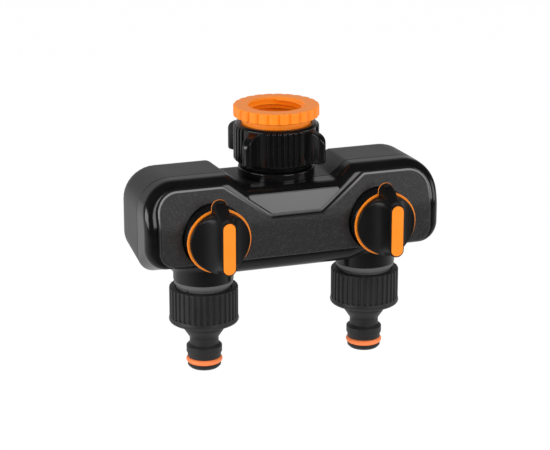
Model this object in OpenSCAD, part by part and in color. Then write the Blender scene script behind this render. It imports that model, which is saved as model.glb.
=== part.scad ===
// Two-way garden hose splitter with a swivelling tap inlet and two shut-off valves.
// Millimetres. Z is up along the inlet, the knobs face -Y, X runs across the outlets.
// The origin is on the inlet axis, where the socket's threaded wall begins under its mouth.

/* [Tap inlet] */
// Bore across the crests of the inlet socket's thread
tap_bore_d = 24.1; // [23:0.1:25]
// Bevel round the mouth of the inlet socket
mouth_bevel = 1.4; // [0.8:0.1:1.8]
// Depth of the inlet socket from its mouth to the washer
socket_depth = 11; // [9:0.5:12]
// Water passage through the reducer
reducer_bore_d = 17; // [14:0.5:18]
// Diameter of the reducer's grip flange
reducer_flange_d = 41; // [38:0.5:44]
// Thickness of the reducer's grip flange
reducer_flange_h = 5.5; // [4.5:0.1:7]
// Scallops round the reducer's grip flange
reducer_scallops = 24; // [18:1:30]
// Diameter over the reducer's outer thread
union_thread_d = 33.2; // [32.4:0.1:34]
// Length of the outer thread inside the swivel nut
union_thread_len = 9.5; // [8:0.5:11]
// Bare neck between the flange and the swivel nut
reducer_neck_h = 2.9; // [2:0.1:4]

/* [Swivel nut] */
// Diameter over the nut's ribs
nut_d = 41; // [40:0.5:44]
// Height of the nut
nut_h = 21; // [20:0.5:24]
// Height of the band of ribs
nut_rib_h = 17; // [14:0.5:18]
// Ribs between two wings of the nut
nut_ribs = 7; // [5:1:9]
// Wings round the nut
nut_wings = 4; // [2:1:6]
// Radius over the wings
wing_reach = 27.2; // [25:0.2:28]
// Thickness of a wing
wing_w = 4.3; // [3:0.1:6]
// Height of a wing at the nut's wall
wing_h = 16.6; // [13:0.1:17]
// Turn of the first wing from the X axis
wing_turn = 38.4; // [0:0.2:89]
// Diameter of the tailpiece that the nut turns on
tail_d = 25; // [24:0.2:26]
// Water passage through the tailpiece
tail_bore_d = 15; // [12:0.5:16]
// Diameter of the tailpiece's spigot in the manifold
spigot_d = 22; // [21:0.2:23]
// Length of that spigot
spigot_len = 11; // [9:0.5:12]
// Diameter of the collar under the nut
collar_d = 36.8; // [36.6:0.2:39]
// Height of the collar above the bridge
collar_h = 4; // [3.8:0.1:5.5]

/* [Housing] */
// Width over the two pods
body_w = 146; // [141:1:156]
// Height of a pod
body_h = 40.6; // [40.4:0.2:46]
// Drop from the pods' tops to the bridge between them
bridge_drop = 6.8; // [6:0.2:8]
// Half width of the valley at the pods' tops
valley_top = 30.5; // [29.5:0.5:33]
// Half width of the valley at the bridge
valley_foot = 22; // [21:0.5:24]
// How far the pods' undersides fall from their front edges to the joint
keel_drop = 4.3; // [3.5:0.1:4.5]
// How far the bridge hangs below the pods' front edges
belly_drop = 5.9; // [5.2:0.1:6.2]
// Half width of the flat under that belly
belly_flat = 28; // [24:0.5:30]
// Round at the belly's lower front edge
belly_r = 6.5; // [4:0.5:8]
// Distance from the inlet axis to the back
back_reach = 19.5; // [19.5:0.5:23]
// Distance from the inlet axis to the lower front
front_reach = 29; // [28.5:0.5:30.5]
// How far the front leans back at the pods' tops
front_lean = 7; // [4:0.5:9]
// Drop from the pods' tops to the knee where the front turns upright
knee_drop = 20; // [17:0.5:22]
// Corner radius of a pod, top outer
pod_top_r = 15.5; // [10:0.5:16]
// Corner radius of a pod, bottom outer
pod_low_r = 10; // [7:0.5:11]
// Round at the upper back edges
back_top_r = 8; // [5:0.5:10]
// Round at the lower back edges
back_low_r = 10; // [5:0.5:11]
// Round at the back's upright edges
back_side_r = 6; // [4:0.5:9]
// Depth of those rounds
back_depth = 10; // [6:0.5:12]
// Fall of the pods' tops towards the back
top_draft = 0.9; // [0:0.1:2]
// Draw of the pods' outer sides towards the back
side_draft = 0.2; // [0:0.1:1]
// Round at the front edges
front_r = 4; // [2:0.5:5]
// Wall of the two shells
wall = 2.4; // [2:0.1:3]

/* [Front plates] */
// Ledge left bare round the fascia
ledge_w = 5.7; // [4.7:0.1:6.4]
// How far the fascia stands proud of the shell
fascia_proud = 3; // [2:0.1:3.5]
// How far the centre panel stands proud of the shell
panel_proud = 1.2; // [0.8:0.1:1.5]
// Half width of the fascia's notch at the top
notch_top = 34.8; // [33.5:0.2:37]
// Half width of the fascia's notch at its floor
notch_floor = 12.5; // [10:0.5:16]
// Drop from the pods' tops to the notch's floor
notch_drop = 19.3; // [17:0.1:21]
// Slit between the centre panel and the fascia
panel_gap = 1; // [0.6:0.1:1.5]

/* [Outlets] */
// Distance between the two outlets
outlet_spacing = 82; // [80:0.5:86]
// Distance from the inlet axis forward to the outlets
outlet_forward = 13.1; // [12.5:0.1:14]
// Diameter of the skirt round an outlet
skirt_d = 28.8; // [28.6:0.1:31]
// Height of that skirt under the housing
skirt_h = 10.7; // [8.5:0.1:12]
// Blend from the skirt into the housing
skirt_blend = 3.8; // [2:0.1:4]
// Diameter over the outlet's thread
outlet_thread_d = 26.2; // [25.8:0.1:26.8]
// Length of the outlet's thread
outlet_thread_len = 11.8; // [10:0.2:13]
// Height of the bevelled ring above that thread
ring_h = 2.5; // [1.5:0.1:3]
// Water passage through the outlet
outlet_bore_d = 18; // [14:0.5:19]

/* [Hose connectors] */
// Diameter over the connector's ribs
connector_d = 32.8; // [32:0.2:36]
// Ribs round the connector
connector_ribs = 36; // [24:1:44]
// Height of the ribbed grip
grip_band_h = 15.6; // [15:0.1:17]
// Round at the grip's lower edge
connector_foot_h = 1.4; // [0.8:0.1:1.6]
// Diameter of the neck where the cone starts
foot_d = 21.2; // [19.4:0.2:22]
// Diameter of the nipple's collar
nipple_collar_d = 17.1; // [16.8:0.1:17.4]
// Diameter of the nipple's barrel
nipple_barrel_d = 16; // [15.6:0.1:16.4]
// Diameter of the nipple's waist
waist_d = 13.9; // [13:0.1:14.5]
// Water passage through the nipple
nipple_bore_d = 9.5; // [8:0.5:10]
// Length of the nipple's cone
cone_h = 8.1; // [7:0.1:9]
// Length of the waist
waist_h = 3; // [2:0.1:4]
// Length of the collar's cylinder
nipple_collar_h = 3; // [2:0.1:4]
// Length of the barrel with its sealing ring
barrel_h = 7.9; // [7.6:0.1:10]
// Drop from the collar to the middle of the sealing ring
nipple_ring_drop = 4; // [3:0.1:4.2]
// Thickness of the sealing ring on the nipple
nipple_ring_w = 2.9; // [2.4:0.1:3]

/* [Valves] */
// Drop from the pods' tops to the knobs' axes
valve_drop = 25.2; // [24.5:0.1:26]
// Diameter of a valve's ball
ball_d = 18; // [16:0.2:18.4]
// Port through the ball
port_d = 9; // [7:0.2:9]
// Diameter of the chamber round the ball
chamber_d = 22; // [21.6:0.2:23]
// Diameter of the stem
stem_d = 10; // [9:0.2:11]
// Width across the stem's square drive
drive_w = 6.6; // [5:0.1:7]
// Diameter of the bonnet behind the knob
bonnet_d = 30; // [29:0.2:31]
// Height of the bonnet's face from the inlet axis
bonnet_reach = 36.9; // [36:0.1:38]

/* [Knobs] */
// Diameter of the coloured dial ring
dial_d = 30.8; // [30:0.2:33]
// Thickness of the dial ring
dial_h = 1.7; // [1.2:0.1:2.5]
// Diameter of the knob's own disc
knob_d = 28.8; // [27:0.2:29.6]
// Thickness of the knob's disc
knob_disc_h = 2; // [1.6:0.1:2.4]
// Height of the grip above the dial ring
grip_h = 15.1; // [13:0.1:17]
// Width of the grip's crest
crest_w = 7; // [6.8:0.1:8]
// How far the crest sits above the knob's axis
crest_rise = 0.7; // [0:0.1:0.9]
// Length of the grip's crest
crest_l = 25.8; // [25.6:0.1:26.6]
// Radius of the scoops beside the grip
scoop_r = 13.4; // [13.2:0.1:15]
// Width of the pointer lobe
lobe_w = 7.6; // [6:0.1:9]
// Reach of the pointer lobe from the knob's axis
lobe_reach = 20; // [18:0.1:20.6]
// Length of the coloured inlay
inlay_l = 24.4; // [20:0.2:24.8]
// Width of the coloured inlay
inlay_w = 5.8; // [4:0.1:6.2]
// Thickness of the coloured inlay
inlay_h = 1.8; // [1.2:0.1:2.4]

/* [Fits] */
// Clearance between pieces that are fixed together
fit_gap = 0.15; // [0.08:0.01:0.25]
// Clearance between pieces that move past each other
run_gap = 0.3; // [0.2:0.05:0.4]
// Clearance of the plain walls that stand for threads
thread_gap = 0.25; // [0.2:0.05:0.35]
// Clearance of the stem in its bonnet
stem_gap = 0.08; // [0.05:0.01:0.1]
// Thickness of the flat washers
washer_h = 2.5; // [2:0.1:3]
// Thickness of the small round sealing rings
seal_w = 1.6; // [1.4:0.1:1.8]

/* [Hidden] */
$fn = 64;
arc_steps = 6;
reach_all = 400;
// Overshoot of the forms that cut
over = 1;
// Small bevel on turned edges
edge = 0.6;

// Levels down the inlet
rim_z = mouth_bevel;
flange_z = rim_z - reducer_flange_h;
flange_edge = 0.4;
flange_bevel = 0.8;
scallop_depth = 1.1;
nut_top_z = flange_z - reducer_neck_h;
reducer_end_z = nut_top_z - union_thread_len;
washer_top_z = rim_z - socket_depth;
seat_z = washer_top_z - washer_h;
// The washer sits in a recess wider than the bore, which keeps it in
recess_d = tap_bore_d + 1.6;
union_washer_less = 3;
nut_foot_z = nut_top_z - nut_h;
nut_edge = 1;
nut_taper = 5;
// Angle that the ribs between two wings take up
nut_rib_span = 46;
rib_share = 0.5;
shoulder_steps = 5;
wing_drop = 1.1;
wing_root = 2.2;
wing_fall = 3;
wing_rise = 0.5;
wing_tip_r = 4;
wing_low_r = 1.6;
// How much a wing widens where it grows out of the nut
wing_flare = 1.6;
collar_top_z = nut_foot_z - run_gap;
bridge_z = collar_top_z - collar_h;
tail_top_z = reducer_end_z - washer_h - 2 * fit_gap;
clip_h = 1.6;
clip_drop = 2;
clip_mouth = 8;
clip_d = tail_d + 5;
clip_groove = 1;
clip_top_z = tail_top_z - clip_drop;
shoulder_z = clip_top_z - clip_h - run_gap;
collar_lid = 2.4;
tail_flange_h = 2.4;
tail_flange_d = tail_d + 6;
tail_flange_z = collar_top_z - collar_lid - fit_gap - tail_flange_h;
tail_seal_w = 2.2;
tail_seal_z = tail_flange_z - spigot_len / 2;
collar_wall = 1.1;
collar_spigot_d = tail_flange_d + 2 * fit_gap + 2 * collar_wall;

// Levels down the housing
pod_z = bridge_z + bridge_drop;
knee_z = pod_z - knee_drop;
foot_z = pod_z - body_h;
belly_z = foot_z - belly_drop;
keel_z = foot_z - keel_drop;
// Rise of a pod's underside from the joint to where its back begins to round
keel_rise = 2;
// How much a pod's lower corner tightens at the joint, and its upper corner at the back
keel_less = 2;
top_less = 3.5;
belly_end = 46;
belly_root = 8;
// Where the belly starts to rise to the back, and where that rise would meet the back
belly_back = 2;
belly_back_r = 8;
belly_rise = 3.8;
notch_z = pod_z - notch_drop;
valve_z = pod_z - valve_drop;
skirt_z = foot_z - skirt_h;
ring_z = skirt_z - ring_h;
ring_bevel = 0.8;
ring_inset = 0.2;
stub_z = ring_z - outlet_thread_len;

// Slope of the valley's sides, X per Z
valley_slope = (valley_top - valley_foot) / bridge_drop;
valley_r = 2;
// Where a pod ends inside the bridge
pod_root = valley_foot - 6;
// The bridge lies this much inside the pods' faces where they meet
bridge_step = 0.05;
bridge_back_r = 5;
// The skirts' blends end this much behind the shells' face
skirt_step = 0.4;
boss_h = 5;
boss_edge = 0.4;
front_low_r = 2.2;
// How much an outline's corners tighten towards the back and the front
corner_less = 4;

// Margins and corners of the front plates
fascia_top_gap = 3.3;
fascia_low_gap = 2.2;
fascia_top_r = 10;
fascia_low_r = 7;
notch_top_r = 3;
notch_floor_r = 2;
fascia_knee_r = 12;
panel_top_gap = 1.5;
panel_low_r = 1.5;
panel_top_r = 1;

// Levels down a connector
connector_gap = 1;
connector_edge = 0.8;
connector_top_z = ring_z - connector_gap;
connector_r = connector_d / 2;
rib_depth = 0.5;
// The foot of the grip flares a little, over a height
foot_flare = 0.35;
foot_flare_h = 1.6;
grip_end_z = connector_top_z - grip_band_h - connector_edge;
connector_foot_z = grip_end_z - connector_foot_h;
cone_z = connector_foot_z - cone_h;
cone_knee = 0.44;
waist_z = cone_z - waist_h;
collar_slope = 1.4;
nipple_collar_z = waist_z - collar_slope - nipple_collar_h;
nipple_end_z = nipple_collar_z - barrel_h;
nipple_ring_z = nipple_collar_z - nipple_ring_drop;
nipple_seal_d = nipple_collar_d + 0.3;
nipple_tip = 1.1;
socket_floor_z = stub_z - washer_h - 2 * fit_gap;

// Stations forward along a valve
part_y = -outlet_forward;
outlet_x = outlet_spacing / 2;
chamber_front_y = -front_reach - 2;
chamber_back_y = part_y + chamber_d / 2;
chamber_wall = 1.6;
// A small step where one round form meets another
skin = 0.05;
seat_d = ball_d * 0.7;
seat_reach = chamber_d / 2 + 1.5;
slot_w = 3.2;
slot_depth = 3;
bonnet_y = -bonnet_reach;
bonnet_plug = 5.9;
bonnet_seal_y = chamber_front_y + 3;
bonnet_groove_d = chamber_d - 2 * seal_w - 0.2;
dial_back_y = bonnet_y - run_gap;
dial_front_y = dial_back_y - dial_h;
disc_front_y = dial_front_y - knob_disc_h;
disc_inset = 0.5;
crest_y = dial_front_y - grip_h;
crest_edge = 0.5;
grip_inset = 0.2;
// The ramp from the grip's upper end down to the pointer's tip
beak_w = 5.6;
beak_tip = 1;
beak_rise = 13;
beak_bow = 1.5;
beak_steps = 6;
inlay_proud = 0.3;
inlay_front_y = crest_y - inlay_proud;
stem_flange_d = stem_d + 4;
stem_flange_h = 1.6;
ball_front_y = part_y - ball_d / 2;
stem_flange_y = ball_front_y - fit_gap;
stem_front_y = stem_flange_y - stem_flange_h;
stem_end_y = dial_front_y - 5.2;
stem_seal_y = [bonnet_y + 9.5, bonnet_y + 5];
stem_groove_d = stem_d + stem_gap - 2 * seal_w - 2 * fit_gap;
pilot_l = 8;
web_h = 2.2;
hub_d = 19;
screw_d = 2.8;
screw_head_d = 6.2;
screw_head_h = 2;
drive_depth = screw_head_h * 0.6;
drive_d = screw_head_d * 0.45;

// Places of the screws that hold the shells together
post_d = 6;
rear_post_d = 9;
post_x = body_w / 2 - 10.5;
post_top = 11.4;
post_low = 8.6;
post_sites = [
    [post_x, pod_z - post_top],
    [post_x, foot_z + post_low],
    [valley_foot - 0.2, bridge_z - wall - post_d / 2 - 0.2]
];
counterbore_d = 6.6;
cover_seat = 7;
cover_seat_y = part_y + cover_seat;
pilot_depth = 9;

// Tubes of the manifold
socket_wall = 4;
cross_d = 15;
cross_bore_d = 10;
outlet_tube_d = skirt_d - 5;

function unit(v) = v / norm(v);
function left_of(v) = [-v.y, v.x];

// A corner of an outline, rounded to a radius
function corner(before, at, after, radius) =
    let (
        u = unit(before - at),
        v = unit(after - at),
        half = acos(u * v) / 2,
        centre = at + unit(u + v) * radius / sin(half),
        first = at + u * radius / tan(half) - centre,
        last = at + v * radius / tan(half) - centre,
        start = atan2(first.y, first.x),
        sweep = (atan2(last.y, last.x) - start + 540) % 360 - 180
    )
    [for (i = [0 : arc_steps])
        centre + radius * [cos(start + sweep * i / arc_steps), sin(start + sweep * i / arc_steps)]];

// An outline of corners [x, y, radius], taken anticlockwise
function outline(corners) =
    let (n = len(corners))
    [for (i = [0 : n - 1])
        let (
            c = corners[i],
            a = corners[(i + n - 1) % n],
            b = corners[(i + 1) % n]
        )
        each (c.z > 0
            ? corner([a.x, a.y], [c.x, c.y], [b.x, b.y], c.z)
            : [[c.x, c.y]])];

// The same corners, moved inwards by a distance
function inset(corners, d) =
    let (n = len(corners))
    [for (i = [0 : n - 1])
        let (
            c = corners[i],
            a = corners[(i + n - 1) % n],
            b = corners[(i + 1) % n],
            into = unit([c.x - a.x, c.y - a.y]),
            out = unit([b.x - c.x, b.y - c.y]),
            n1 = left_of(into),
            n2 = left_of(out),
            convex = into.x * out.y - into.y * out.x > 0,
            p = [c.x, c.y] + d * (n1 + n2) / (1 + n1 * n2)
        )
        [p.x, p.y, c.z > 0 ? max(0.4, c.z + (convex ? -d : d)) : 0]];

// The front of the shells at a height: upright below the knee, leaning above it
function front_y(z) = -front_reach + front_lean * max(0, z - knee_z) / knee_drop;

// A pod's outline seen from the front, drawn in at its side, top, foot and slope; its faces fold at a height
function pod_face(side, top, low, top_less, low_less, fold_z) =
    let (
        top_z = pod_z - top,
        shift = top * sqrt(1 + valley_slope * valley_slope),
        crest_x = valley_top - valley_slope * top + shift,
        root_z = max(top_z - (crest_x - pod_root) / valley_slope, fold_z + over),
        side_x = body_w / 2 - side
    )
    outline([
        [pod_root, foot_z + low, 0],
        [side_x, foot_z + low, pod_low_r - low_less],
        [side_x, fold_z, 0],
        [side_x, top_z, pod_top_r - top_less],
        [crest_x, top_z, valley_r],
        [pod_root, root_z, 0],
        [pod_root, fold_z, 0]
    ]);

// Index of the outline's points where its faces fold, on the outer side and at the root
fold_out = 2 + arc_steps;
fold_in = 7 + 3 * arc_steps - 1;

// Side faces between one ring of points and the next
function ring_faces(first, second, n) =
    [for (i = [0 : n - 1])
        let (j = (i + 1) % n)
        each [[first + i, second + i, first + j], [first + j, second + i, second + j]]];

// A closed solid through rings of points, its last end folded in two
module loft(rings) {
    n = fold_in + 1;
    last = n * (len(rings) - 1);
    upper = [for (i = [fold_out : fold_in]) last + fold_in + fold_out - i];
    lower = concat([for (i = [0 : fold_out]) last + fold_out - i], [last + fold_in]);
    polyhedron(
        [for (ring = rings) each ring],
        concat(
            [[for (i = [0 : n - 1]) (i + fold_out) % n]],
            [for (k = [0 : len(rings) - 2]) each ring_faces(k * n, (k + 1) * n, n)],
            [upper, lower]
        )
    );
}

// A pod from the joint forwards, its front edges rounded
module front_pod(d) {
    round_r = front_r - d / 2;
    loft(concat(
        [[for (p = pod_face(d, d, d - keel_drop, d / 2, d / 2 + keel_less, knee_z)) [p.x, part_y + over, p.y]]],
        [for (i = [0 : arc_steps])
            let (
                grow = 1 - cos(90 * i / arc_steps),
                draw = d + round_r * grow,
                low = d + front_low_r * grow,
                less = d / 2 + (corner_less - d / 2) * grow
            )
            [for (p = pod_face(draw, draw, low, less, less, knee_z))
                [p.x, front_y(p.y) + d + round_r * (1 - sin(90 * i / arc_steps)), p.y]]]
    ));
}

// A pod from the joint backwards, drawn in and rounded at the back
module rear_pod(d) {
    fold = foot_z + d + pod_low_r + over;
    mirror([0, 1, 0])
        loft(concat(
            [[for (p = pod_face(d, d, d - keel_drop, d, d / 2 + keel_less, fold)) [p.x, over - part_y, p.y]]],
            [for (i = [0 : arc_steps])
                let (
                    grow = 1 - cos(90 * i / arc_steps),
                    side = d + side_draft + back_side_r * grow,
                    top = d + top_draft + back_top_r * grow,
                    low_start = d - keel_drop + keel_rise,
                    low = low_start + (d + back_low_r - low_start) * grow,
                    low_less = d / 2 + corner_less * grow,
                    fold_z = foot_z + low + pod_low_r - low_less + over / 2,
                    back_y = back_reach - d - back_depth * (1 - sin(90 * i / arc_steps))
                )
                [for (p = pod_face(side, top, low, d + top_less * grow, low_less, fold_z))
                    [p.x, -back_y, p.y]]]
        ));
}

// The bridge between the pods seen from its side, set in by a distance
function bridge_profile(d) = inset([
    [front_y(bridge_z), bridge_z, front_r],
    [-front_reach, knee_z, 0],
    [-front_reach, belly_z, belly_r],
    [belly_back, belly_z, belly_back_r],
    [back_reach, foot_z + belly_rise, back_low_r],
    [back_reach, bridge_z, bridge_back_r]
], d + bridge_step);

// The bridge seen from the front, its belly raised by a distance
function bridge_face(d) = [
    [-belly_end, foot_z + d, 0],
    [-belly_flat, belly_z + d, belly_r],
    [belly_flat, belly_z + d, belly_r],
    [belly_end, foot_z + d, 0],
    [belly_end, foot_z + belly_root, 0],
    [valley_foot, foot_z + belly_root, 0],
    [valley_foot, bridge_z + over, 0],
    [-valley_foot, bridge_z + over, 0],
    [-valley_foot, foot_z + belly_root, 0],
    [-belly_end, foot_z + belly_root, 0]
];

// The fascia's outline, with a notch for the centre panel
fascia_top_z = pod_z - fascia_top_gap;
fascia_low_z = foot_z + fascia_low_gap;
fascia_x = body_w / 2 - ledge_w;
fascia_face = [
    [-fascia_x, fascia_low_z, fascia_low_r],
    [fascia_x, fascia_low_z, fascia_low_r],
    [fascia_x, fascia_top_z, fascia_top_r],
    [notch_top, fascia_top_z, notch_top_r],
    [notch_floor, notch_z, notch_floor_r],
    [-notch_floor, notch_z, notch_floor_r],
    [-notch_top, fascia_top_z, notch_top_r],
    [-fascia_x, fascia_top_z, fascia_top_r]
];
notch_slope = (notch_top - notch_floor) / (fascia_top_z - notch_z);
panel_top_z = bridge_z - panel_top_gap;
panel_low_z = notch_z + panel_gap;
panel_low_x = notch_floor + panel_gap * (notch_slope - sqrt(1 + notch_slope * notch_slope));
panel_top_x = panel_low_x + notch_slope * (panel_top_z - panel_low_z);
panel_face = [
    [-panel_low_x, panel_low_z, panel_low_r],
    [panel_low_x, panel_low_z, panel_low_r],
    [panel_top_x, panel_top_z, panel_top_r],
    [-panel_top_x, panel_top_z, panel_top_r]
];

module face_prism(corners) {
    rotate([90, 0, 0])
        linear_extrude(reach_all, center = true)
            polygon(outline(corners));
}

module side_prism(corners) {
    rotate([90, 0, 90])
        linear_extrude(reach_all, center = true)
            polygon(outline(corners));
}

module both_sides() {
    children();
    mirror([1, 0, 0])
        children();
}

module at_outlet(side) {
    translate([side * outlet_x, part_y, 0])
        children();
}

// Points children's +Z forward along a valve's axis, from the inlet axis' plane
module at_valve(side) {
    translate([side * outlet_x, 0, valve_z])
        rotate([90, 0, 0])
            children();
}

// A cylinder between two forward stations of a valve, given as Y
module along_valve(from_y, to_y, d) {
    translate([0, 0, -from_y])
        cylinder(h = from_y - to_y, d = d);
}

module drop_cylinder(top_z, low_z, d) {
    translate([0, 0, low_z])
        cylinder(h = top_z - low_z, d = d);
}

// A flat ring that hangs from a height
module flat_ring(top_z, h, outer_d, inner_d) {
    difference() {
        drop_cylinder(top_z, top_z - h, outer_d);
        drop_cylinder(top_z + over, top_z - h - over, inner_d);
    }
}

// A groove round an upright bar, at a height
module round_groove(mid_z, width, bar_d, floor_d) {
    difference() {
        drop_cylinder(mid_z + width / 2, mid_z - width / 2, bar_d + over);
        drop_cylinder(mid_z + width, mid_z - width, floor_d);
    }
}

// A round sealing ring lying flat, by its outer diameter
module seal_ring(outer_d, width) {
    rotate_extrude()
        translate([(outer_d - width) / 2, 0])
            circle(d = width);
}

// A ribbed round outline: flat-topped ribs on a core circle
module ribbed(d, depth, count, share) {
    pitch = 360 / count;
    rib = pitch * share / 2;
    flank = rib + pitch / 10;
    steps = [[-pitch / 2, 0], [-flank, 0], [-rib, 1], [0, 1], [rib, 1], [flank, 0]];
    polygon([for (i = [0 : count - 1])
        for (k = steps)
            (d / 2 - depth + k.y * depth) * [cos(i * pitch + k.x), sin(i * pitch + k.x)]]);
}

// The bridge between the pods, or the same form set in by a distance
module bridge(d) {
    intersection() {
        face_prism(bridge_face(d));
        side_prism(bridge_profile(d));
    }
}

// A round seat for the collar, level with the bridge
module collar_boss() {
    drop_cylinder(bridge_z - bridge_step, bridge_z - boss_h, collar_d + 2 * boss_edge);
}

// Slopes of the pods' undersides before and behind the joint, Z per Y
front_slope = -keel_drop / (front_reach - front_r + part_y);
rear_slope = keel_rise / (back_reach - back_depth - part_y);
blend_sides = 32;

// The skirt round an outlet, blended into an underside of a slope
module skirt_form(slope) {
    rings = [for (i = [0 : arc_steps + 1])
        let (
            turn = 90 * min(1, i / arc_steps),
            r = skirt_d / 2 + skirt_blend * (1 - cos(turn)),
            z = keel_z - skirt_blend * (1 - sin(turn)) + (i > arc_steps ? wall : 0)
        )
        [for (k = [0 : blend_sides - 1])
            let (a = 360 * k / blend_sides)
            [r * cos(a), r * sin(a), z + slope * r * sin(a)]]];
    last = blend_sides * (arc_steps + 1);
    drop_cylinder(foot_z + wall, skirt_z, skirt_d);
    polyhedron(
        [for (ring = rings) each ring],
        concat(
            [[for (k = [0 : blend_sides - 1]) k]],
            [for (i = [0 : arc_steps]) each ring_faces(i * blend_sides, (i + 1) * blend_sides, blend_sides)],
            [[for (k = [0 : blend_sides - 1]) last + blend_sides - 1 - k]]
        )
    );
}

// Holes of both shells for the outlets' tubes and the inlet's collar
module shell_holes() {
    for (side = [-1, 1])
        at_outlet(side)
            drop_cylinder(foot_z + 2 * wall, skirt_z - over, outlet_tube_d + 2 * fit_gap);
    drop_cylinder(bridge_z + over, bridge_z - 2 * wall, collar_spigot_d + 2 * fit_gap);
}

// Both skirts, no further forward than the shells' face
module skirts(slope) {
    intersection() {
        for (side = [-1, 1])
            at_outlet(side)
                skirt_form(slope);
        translate([-reach_all / 2, skirt_step - front_reach, -reach_all / 2])
            cube(reach_all);
    }
}

// Posts for the screws, through the whole depth
module posts(d) {
    for (side = [-1, 1])
        for (site = post_sites)
            translate([side * site.x, 0, site.y])
                rotate([90, 0, 0])
                    cylinder(h = reach_all, d = d, center = true);
}

module front_half() {
    translate([-reach_all / 2, part_y - reach_all, -reach_all / 2])
        cube(reach_all);
}

module rear_half() {
    translate([-reach_all / 2, part_y, -reach_all / 2])
        cube(reach_all);
}

// Screw holes from the back: a pilot in front of a depth, a counterbore behind it
module screw_holes(d, from_y, to_y) {
    for (side = [-1, 1])
        for (site = post_sites)
            translate([side * site.x, to_y, site.y])
                rotate([90, 0, 0])
                    cylinder(h = to_y - from_y, d = d);
}

module front_shell() {
    color("#1c1c1e")
        difference() {
            intersection() {
                union() {
                    both_sides()
                        front_pod(0);
                    bridge(0);
                    collar_boss();
                    skirts(front_slope);
                }
                front_half();
            }
            difference() {
                union() {
                    both_sides()
                        front_pod(wall);
                    bridge(wall);
                }
                posts(post_d);
            }
            shell_holes();
            for (side = [-1, 1])
                at_valve(side)
                    along_valve(part_y, -reach_all / 2, bonnet_d + 2 * run_gap);
            screw_holes(screw_d + 2 * fit_gap, part_y - pilot_depth, part_y + over);
        }
}

module rear_cover() {
    color("#232325")
        difference() {
            intersection() {
                union() {
                    both_sides()
                        rear_pod(0);
                    bridge(0);
                    collar_boss();
                    skirts(rear_slope);
                }
                rear_half();
            }
            difference() {
                union() {
                    both_sides()
                        rear_pod(wall);
                    bridge(wall);
                }
                posts(rear_post_d);
            }
            shell_holes();
            screw_holes(screw_d + 2 * fit_gap, part_y - over, cover_seat_y + over);
            screw_holes(counterbore_d, cover_seat_y, back_reach + over);
        }
}

// A plate that lies on the shells' front, seen from its side
function front_plate(proud) = [
    [front_y(pod_z) - proud, pod_z, 0],
    [-front_reach - proud, knee_z, fascia_knee_r],
    [-front_reach - proud, foot_z, 0],
    [-front_reach, foot_z, 0],
    [-front_reach, knee_z, 0],
    [front_y(pod_z), pod_z, 0]
];

module fascia_plate() {
    color("#2b2b2d")
        difference() {
            intersection() {
                face_prism(fascia_face);
                side_prism(front_plate(fascia_proud));
            }
            for (side = [-1, 1])
                at_valve(side)
                    along_valve(part_y, -reach_all / 2, bonnet_d + 2 * run_gap);
        }
}

module center_panel() {
    color("#3a3a3c")
        intersection() {
            face_prism(panel_face);
            side_prism(front_plate(panel_proud));
        }
}

module cover_screws() {
    color("#9a9a98")
        for (side = [-1, 1])
            for (site = post_sites)
                translate([side * site.x, cover_seat_y, site.y])
                    rotate([90, 0, 0])
                        screw(cover_seat + pilot_depth - over);
}

// A screw whose head sits on the plane of its own frame and whose shank runs along +Z
module screw(shank_l) {
    translate([0, 0, -screw_head_h])
        difference() {
            cylinder(h = screw_head_h, d = screw_head_d);
            translate([0, 0, -over])
                cylinder(h = over + drive_depth, d = drive_d, $fn = 6);
        }
    cylinder(h = shank_l, d = screw_d);
}

module manifold_core() {
    case_d = chamber_d + 2 * chamber_wall;
    color("#5a5a5c")
        difference() {
            union() {
                drop_cylinder(tail_flange_z, valve_z - cross_d / 2, spigot_d + 2 * socket_wall);
                translate([0, part_y, valve_z])
                    rotate([0, 90, 0])
                        cylinder(h = outlet_spacing, d = cross_d, center = true);
                translate([0, 0, valve_z])
                    rotate([90, 0, 0])
                        cylinder(h = outlet_forward + over, d = cross_d);
                for (side = [-1, 1]) {
                    at_valve(side)
                        along_valve(chamber_back_y + chamber_wall, chamber_front_y, case_d);
                    at_outlet(side)
                        outlet_tube();
                }
            }
            drop_cylinder(tail_flange_z + over, tail_flange_z - spigot_len - over, spigot_d + 2 * fit_gap);
            drop_cylinder(tail_flange_z, valve_z - over, tail_bore_d);
            translate([0, 0, valve_z])
                rotate([90, 0, 0])
                    cylinder(h = outlet_forward + over, d = cross_bore_d);
            translate([0, part_y, valve_z])
                rotate([0, 90, 0])
                    cylinder(h = outlet_spacing, d = cross_bore_d, center = true);
            for (side = [-1, 1]) {
                at_valve(side)
                    along_valve(chamber_back_y, chamber_front_y - over, chamber_d);
                at_outlet(side)
                    drop_cylinder(valve_z + over, stub_z - over, outlet_bore_d);
                seat_pockets(side);
            }
        }
}

// The outlet's tube with its bevelled ring and plain threaded stub
module outlet_tube() {
    drop_cylinder(valve_z + over, skirt_z, outlet_tube_d);
    translate([0, 0, ring_z])
        cylinder(h = ring_h, d1 = outlet_thread_d + ring_bevel, d2 = skirt_d - 2 * ring_inset);
    drop_cylinder(ring_z, stub_z, outlet_thread_d);
}

// Places a child's +Z from a ball's centre towards the inlet and towards the outlet
module at_seats(side) {
    translate([side * outlet_x, part_y, valve_z]) {
        rotate([0, -side * 90, 0])
            children();
        rotate([180, 0, 0])
            children();
    }
}

module seat_pockets(side) {
    at_seats(side)
        cylinder(h = seat_reach + fit_gap, d = seat_d + 2 * fit_gap);
}

module ball_seats(side) {
    color("#e8e4d8")
        difference() {
            at_seats(side)
                difference() {
                    cylinder(h = seat_reach, d = seat_d);
                    translate([0, 0, -over])
                        cylinder(h = seat_reach + 2 * over, d = port_d + fit_gap);
                }
            translate([side * outlet_x, part_y, valve_z])
                sphere(d = ball_d + 2 * stem_gap);
        }
}

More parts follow.
